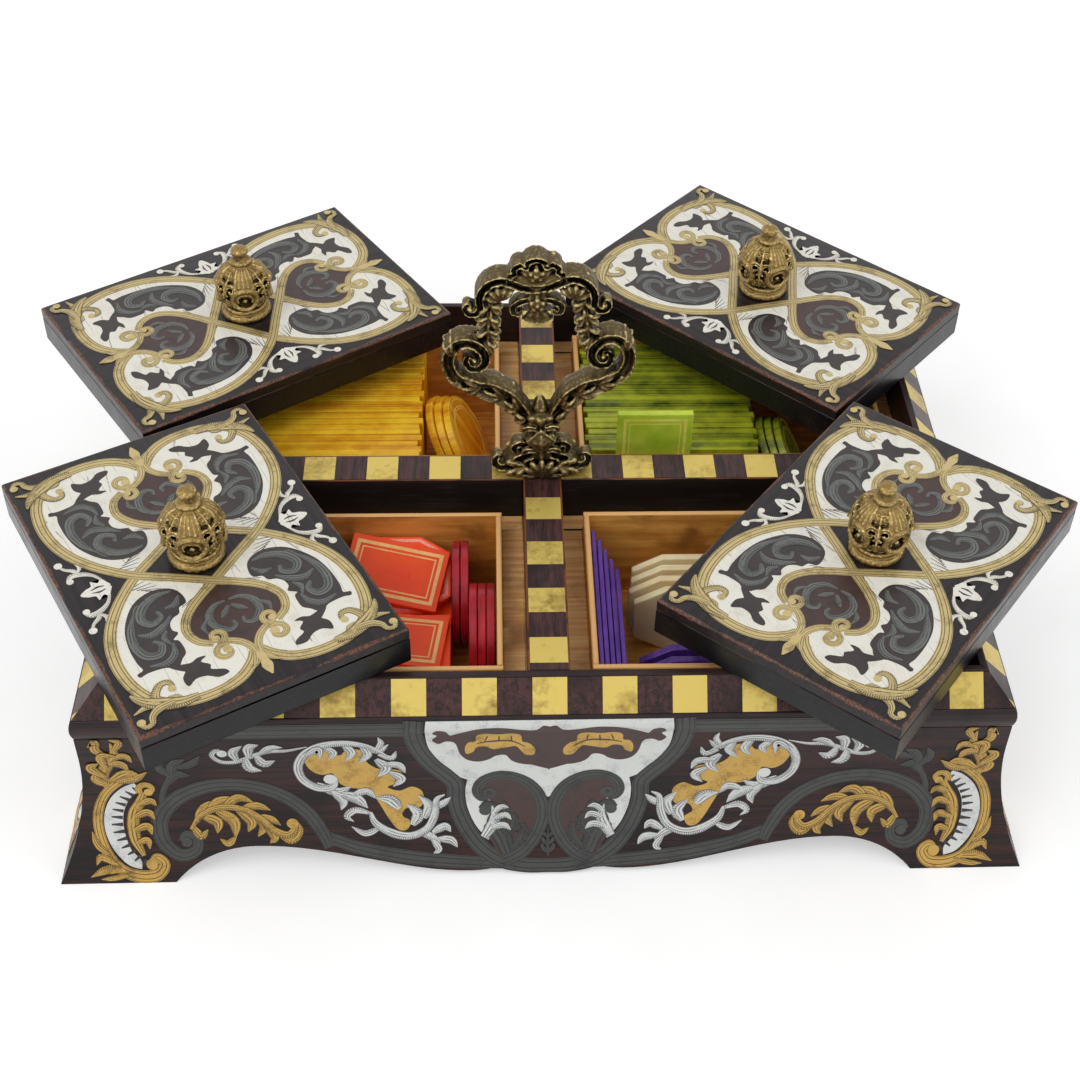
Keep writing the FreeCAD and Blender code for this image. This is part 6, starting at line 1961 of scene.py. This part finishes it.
@dataclass
class Knob(Casting):
    """One lid knob: a moulded foot, a globe of four cartouches and shells, a collar and a button."""
    detail: float = 0.3

    def build(self, quarter: str, place: Bend) -> None:
        """Casts the knob.

        Args:
            quarter: The lid on which it stands.
            place: Puts rows of points on that lid.
        """
        self.spun([
            (8.8, 0.02), (9.6, 0.5), (9.65, 1.6), (9, 2.5), (8.2, 2.8), (8.3, 3.6), (8, 4.4), (6.8, 5),
            (5.6, 5.8), (5.2, 7), (5.4, 8),
        ])
        self.spun(
            [
                (5, 5.6), (7, 7.2), (8.2, 9.6), (8.5, 12.6), (8.3, 15.4), (7.4, 18), (5.8, 20.4), (4.4, 22),
                (3, 23),
            ]
        )
        for step in range(4):
            angle = math.radians(90 * step + 66)
            self.cartouche(angle)
            self.shell(angle)
            for height, radius, reach, way in ((15.2, 9.2, 2.6, 1), (8.6, 8.2, 2, -1), (19.4, 6, 1.5, 1)):
                self.volute(angle + math.radians(45), height, radius, reach, way)
        self.spun([(2.6, 21.6), (3.2, 22.3), (4, 22.8), (4.3, 23.5), (3.9, 24.3), (2.8, 24.9), (1.8, 25.6)])
        self.spun([(1.2, 24.8), (1.9, 25.9), (3, 26.7), (3.4, 27.8), (3, 28.9), (1.8, 29.6), (0.1, 29.9)])
        # The first colour is a painted highlight with wear on the edges, the third painted shade in the
        # hollows
        finish = CastBronze("gilt_bronze_knob", (238, 214, 150), (142, 116, 66), (24, 19, 12), 2.6)
        self.finished(
            f"knob_cast_{quarter}", finish, f"lid_{quarter}", f"knob_{quarter}", place, self.detail,
        )

    @staticmethod
    def around(angle: float, places: Points) -> List[Place]:
        """Points from (radius, height) pairs in the plane at an angle about Z."""
        return [(radius * math.cos(angle), radius * math.sin(angle), height) for radius, height in places]

    @staticmethod
    def standing(angle: float, centre: Spot, places: Points) -> List[np.ndarray]:
        """Points of (sideways, up) pairs on the plane that touches the globe at a (radius, height).

        Args:
            angle: Where the plane stands round Z.
            centre: The radius and height of its middle.
            places: The pairs.

        Returns:
            The points.
        """
        outward = np.array([math.cos(angle), math.sin(angle), 0])
        tangent = np.array([-math.sin(angle), math.cos(angle), 0])
        middle, globe_radius = 11.6, 9.0
        lean = (centre[1] - middle) / globe_radius
        return [
            outward * (centre[0] - 0.05 * side * side - lean * up)
            + tangent * side
            + np.array([0, 0, centre[1] + up])
            for side, up in places
        ]

    def cartouche(self, angle: float) -> None:
        """An oval frame round a dark opening: an outer roll, an inner crescent and a bead in its middle.

        Args:
            angle: Where it stands round the knob.
        """
        outward = (math.cos(angle), math.sin(angle), 0)
        for ends, centre, (wide, tall), widths, depth in (
            ((-90, 271), (9.9, 11.6), (4.7, 4.2), (0.95,), 1.3),
            ((-30, 211), (9.5, 11.4), (2.9, 2.5), (0.4, 0.75, 0.8, 0.75, 0.4), 1),
        ):
            turns = np.radians(np.arange(*ends, 30))
            ring = [(wide * math.cos(turn), tall * math.sin(turn)) for turn in turns]
            self.sweep(self.standing(angle, centre, ring), widths, (depth,), RIBBED, outward)
        self.ball(self.standing(angle, (8.6, 10.6), [(0, 0)])[0], (1.2, 1.2, 1), 10)

    def shell(self, angle: float) -> None:
        """A fan of five ribs under the collar that flares out over the oval frame.

        Args:
            angle: Where it stands round the knob.
        """
        for step in range(-2, 3):
            spot = angle + 0.17 * step
            drop = 0.25 * step * step
            self.sweep(
                self.around(spot, [
                    (3.8, 22.2), (5.8, 21.4), (7.6, 19.9), (8.9, 18.2 - drop), (9.9, 17 - drop),
                ]),
                (0.4, 0.7, 0.9, 1, 0.8), (0.7, 0.8, 0.9, 0.9, 0.6), RIBBED,
                (math.cos(spot), math.sin(spot), 0.3),
            )

    def volute(
        self, angle: float, height: float, radius: float, reach: float, way: int,
    ) -> None:
        """A pair of curls that face outwards, rolled towards one another over a small leaf.

        Args:
            angle: Where it stands round the knob.
            height: The height of its eyes.
            radius: The knob's radius there.
            reach: The curls' radius.
            way: 1 when they open upwards, -1 when downwards.
        """
        outward = (math.cos(angle), math.sin(angle), 0)
        turns, radii = np.radians(np.linspace(250, -160, 11)), np.linspace(reach, reach * 0.22, 11)
        for side in (-1, 1):
            curl = self.standing(angle, (radius, height), [
                (side * (reach * 0.95 + size * math.cos(turn)), way * size * math.sin(turn))
                for turn, size in zip(turns, radii)
            ])
            self.sweep(curl, (0.3, 0.7, 0.75, 0.7, 0.6, 0.5), (1.2, 1.5, 1.5, 1.4), TROUGH, outward)
        leaf = self.standing(angle, (radius + 0.5, height), [
            (0, -way * reach * 1.3), (0, 0), (0, way * reach * 1.2),
        ])
        self.sweep(leaf, (0.4, reach * 0.42, 0.3), (0.9, 1.3, 0.7), RIBBED, outward)


# ---------------------------------------------------------------- counters

@dataclass
class Counters:
    """The counters in the four trays, each heap in its own stain, with printed borders on the plaques."""
    ease: float = 0.3
    thickness: float = 2.8

    def build(self) -> None:
        """Dresses every heap and lays the borders."""
        for colour, light, dark, row, clear, heaps in (
            (
                "yellow", (255, 206, 44), (208, 122, 0), (0, 0.3, 0.004), 0.3,
                (("counters_yellow_long", "case"), ("counters_yellow_round", "yellow_round")),
            ),
            (
                "green", (182, 190, 40), (36, 62, 8), (0, 0.3, 0.004), 0.2,
                (("counters_green_long", "case"), ("counters_green_round", "case")),
            ),
            (
                "purple", (104, 62, 160), (66, 34, 116), (0.5, 0.02, 0.02), 0.2,
                (("counters_purple_long", "purple_long"), ("counters_purple_octagon", "case")),
            ),
            (
                "orange", (255, 88, 22), (250, 62, 10), (0.02, 0.02, 0.02), 0.1,
                (
                    ("counters_red_long", "case"), ("plaque_red_octagon", "red_plaques"),
                    ("plaque_red_upper", "red_plaques"),
                ),
            ),
            (
                "crimson", (200, 34, 48), (116, 10, 24), (0.3, 0.02, 0.02), 0.15,
                (
                    ("counters_red_round_back", "red_round_back"),
                    ("counters_red_round_front", "red_round_front"),
                ),
            ),
            (
                "bone", (255, 240, 198), (236, 208, 152), (0.02, 0.3, 0.02), 0.3,
                (("counters_bone_octagon", "case"),),
            ),
            (
                "lime", (222, 238, 84), (176, 208, 48), (0.02, 0.02, 0.02), 0.2,
                (("plaque_green", "green_plaque"),),
            ),
        ):
            finish = Counter(f"counter_{colour}", light, dark, row, clear)
            for node, body in heaps:
                softened(node, finish, self.ease, body, finish.name)
        self.borders()

    def borders(self) -> None:
        """Lays the printed lines on the plaques and on the top rounds."""
        small, cut = self.oblong(36.0, 24.0), [
            (19, -8.5), (19, 8.5), (8, 15), (-8, 15), (-19, 8.5), (-19, -8.5), (-8, -15), (8, -15),
        ]
        turn = np.radians(np.arange(0, 360, 12))
        disc = np.column_stack([19 * np.cos(turn), 19 * np.sin(turn)]).tolist()
        peach, pink, pale, straw = (Print(f"print_{name}", light, dark) for name, light, dark in (
            ("peach", (255, 204, 128), (246, 176, 96)), ("pink", (255, 170, 150), (244, 120, 110)),
            ("pale_green", (250, 250, 120), (232, 230, 84)), ("straw", (255, 226, 130), (240, 186, 60)),
        ))
        plaque, rings = ((2, 1.3), (4.3, 0.5)), ((1.2, 0.5), (4.2, 0.7), (5.4, 0.3))
        for suffix, outline, lines, tone, pose, body, slot in (
            (
                "red_octagon", cut, ((1, 1.2), (4.6, 0.5)), pink, ((-52.6, -32.642, 55.401), 0, 24, 0),
                "red_plaques", "orange",
            ),
            (
                "red_upper", small, plaque, peach, ((-53.838, -33.903, 58.233), -13, 24, 0), "red_plaques",
                "orange",
            ),
            ("red_lower", small, plaque, peach, ((-53.095, -65.8, 56.1), -8, 0, 0), "case", "orange"),
            (
                "green", self.oblong(28.5, 58.0), ((2.2, 1.1), (4.4, 0.4)), pale,
                ((43.3, 20.3, 61.3), 0, 90, 0), "green_plaque", "lime",
            ),
            (
                "yellow_round", disc, rings, straw, ((-29.221, 50.3, 49.229), 0, 0, 63), "yellow_round",
                "yellow",
            ),
            ("green_round", disc, rings, pale, ((101.184, 36.5, 49.229), 0, 0, 63), "case", "green"),
        ):
            border = Drawing(((1, 1),))
            for inset, width in lines:
                border.loop(Stuff.BONE, outline, inset, width, 1)
            border.pieces(
                suffix, body, partial(self.lie, pose), {(Stuff.BONE, Cut.FIELD): tone}, f"counter_{slot}",
                0.06,
            )

    @staticmethod
    def oblong(length: float, width: float) -> List[Spot]:
        """The corners of an oblong, counter-clockwise."""
        return [
            (length / 2, -width / 2), (length / 2, width / 2), (-length / 2, width / 2),
            (-length / 2, -width / 2),
        ]

    def lie(self, pose: Tuple[Place, float, float, float], rows: np.ndarray) -> np.ndarray:
        """Puts rows drawn on a counter's face where it lies: turned about Z, X and then Y, and moved.

        Args:
            pose: The middle of its underside and the three angles in degrees.
            rows: (along, up, lift) over its face.

        Returns:
            Rows of X, Y and Z.
        """
        middle, spin, slope, lean = pose
        spin, slope, lean = (math.radians(angle) for angle in (spin, slope, lean))
        u, v, lift = rows.T
        w = lift + self.thickness
        u, v = u * math.cos(spin) - v * math.sin(spin), u * math.sin(spin) + v * math.cos(spin)
        v, w = v * math.cos(slope) - w * math.sin(slope), v * math.sin(slope) + w * math.cos(slope)
        u, w = u * math.cos(lean) + w * math.sin(lean), w * math.cos(lean) - u * math.sin(lean)
        return np.column_stack([u, v, w]) + middle


# ---------------------------------------------------------------- studio

@dataclass
class Studio:
    """A plain pale floor, a white surround, soft light and the camera."""
    floor_half: float = 3.0
    eye: Place = (-0.0182, -0.4761, 0.5014)
    yaw: float = -4.19
    pitch: float = 42.52
    roll: float = -2.44
    lens: float = 57.14
    shift: Spot = (-0.0419, -0.0379)
    sky: float = 0.62

    def build(self) -> None:
        """Makes the floor, the surround, the lamps and the camera."""
        self.floor()
        self.surround()
        self.lamp("key", (-0.9, -0.7, 1.5), 9.0, 1.1)
        self.lamp("fill", (1.2, -0.5, 1), 3.2, 1.2)
        self.camera()
        bpy.context.scene.view_settings.view_transform = "Standard"

    @staticmethod
    def seen(tree: bpy.types.NodeTree) -> Socket:
        """1 for rays from the camera, off gloss and through glass, and 0 for the rest.

        Args:
            tree: The nodes to add to.

        Returns:
            The number.
        """
        path = tree.nodes.new("ShaderNodeLightPath")
        total: Socket = path.outputs["Is Camera Ray"]
        for name in ("Is Glossy Ray", "Is Transmission Ray"):
            step = tree.nodes.new("ShaderNodeMath")
            step.operation = "MAXIMUM"
            tree.links.new(total, step.inputs[0])
            tree.links.new(path.outputs[name], step.inputs[1])
            total = step.outputs[0]
        return total

    def floor(self) -> None:
        """A flat floor, pale in itself and lifted to white where it is seen, so only shadow darkens it."""
        mesh = bpy.data.meshes.new("studio_floor")
        reach = self.floor_half
        mesh.from_pydata(
            [(-reach, -reach, 0), (reach, -reach, 0), (reach, reach, 0), (-reach, reach, 0)], [],
            [(0, 1, 2, 3)],
        )
        floor = bpy.data.objects.new("studio_floor", mesh)
        bpy.context.scene.collection.objects.link(floor)
        shader = Shader("studio_floor")
        lift = shader.math("MULTIPLY", self.seen(shader.tree), 0.42)
        speckle = shader.noise(shader.place(), 0.02, 2.0)
        tone = shader.ramp(speckle, 0.3, (0.74, 0.74, 0.74, 1), 0.7, (0.78, 0.78, 0.78, 1))
        mesh.materials.append(
            shader.finish(tone, 0.9, None, Emission_Color=(1, 1, 1, 1), Emission_Strength=lift)
        )

    def surround(self) -> None:
        """A world that is white where it is seen and gives softer light."""
        world = bpy.data.worlds.new("studio_surround")
        world.use_nodes = True
        tree = world.node_tree
        back = tree.nodes["Background"]
        back.inputs["Color"].default_value = (1, 1, 1, 1)
        strength = tree.nodes.new("ShaderNodeMapRange")
        tree.links.new(self.seen(tree), strength.inputs["Value"])
        strength.inputs["To Min"].default_value = self.sky
        strength.inputs["To Max"].default_value = 1.0
        tree.links.new(strength.outputs["Result"], back.inputs["Strength"])
        bpy.context.scene.world = world

    @staticmethod
    def lamp(name: str, place: Place, power: float, size: float) -> None:
        """Hangs a square soft lamp that looks at the box's middle.

        Args:
            name: The lamp's name.
            place: Where it hangs, in metres.
            power: Its power in watts.
            size: The length of its side.
        """
        light = bpy.data.lights.new(name, "AREA")
        light.energy = power
        light.size = size
        lamp = bpy.data.objects.new(name, light)
        lamp.location = place
        lamp.rotation_euler = (Vector((0, 0, 0.05)) - Vector(place)).to_track_quat("-Z", "Y").to_euler()
        bpy.context.scene.collection.objects.link(lamp)

    def camera(self) -> None:
        """Looks along +Y, then rolls, pitches down and turns."""
        made = bpy.data.cameras.new("camera")
        made.sensor_width = 36.0
        made.lens = self.lens
        made.shift_x, made.shift_y = self.shift
        camera = bpy.data.objects.new("camera", made)
        bpy.context.scene.collection.objects.link(camera)
        turn = (
            Matrix.Rotation(math.radians(self.yaw), 4, "Z")
            @ Matrix.Rotation(math.radians(-self.pitch), 4, "X")
            @ Matrix.Rotation(math.radians(self.roll), 4, "Y")
            @ Matrix.Rotation(math.radians(90), 4, "X")
        )
        camera.matrix_world = Matrix.Translation(self.eye) @ turn
        bpy.context.scene.camera = camera


def main() -> None:
    """Builds the sub-assemblies in order and reports them."""
    logging.basicConfig(level=logging.INFO, format="%(name)s: %(message)s")
    Case().build()
    for quarter, turn in LID_TURNS.items():
        Lid(quarter, turn).build()
    Handle().build()
    Counters().build()
    Studio().build()


if __name__ == "__main__":
    main()
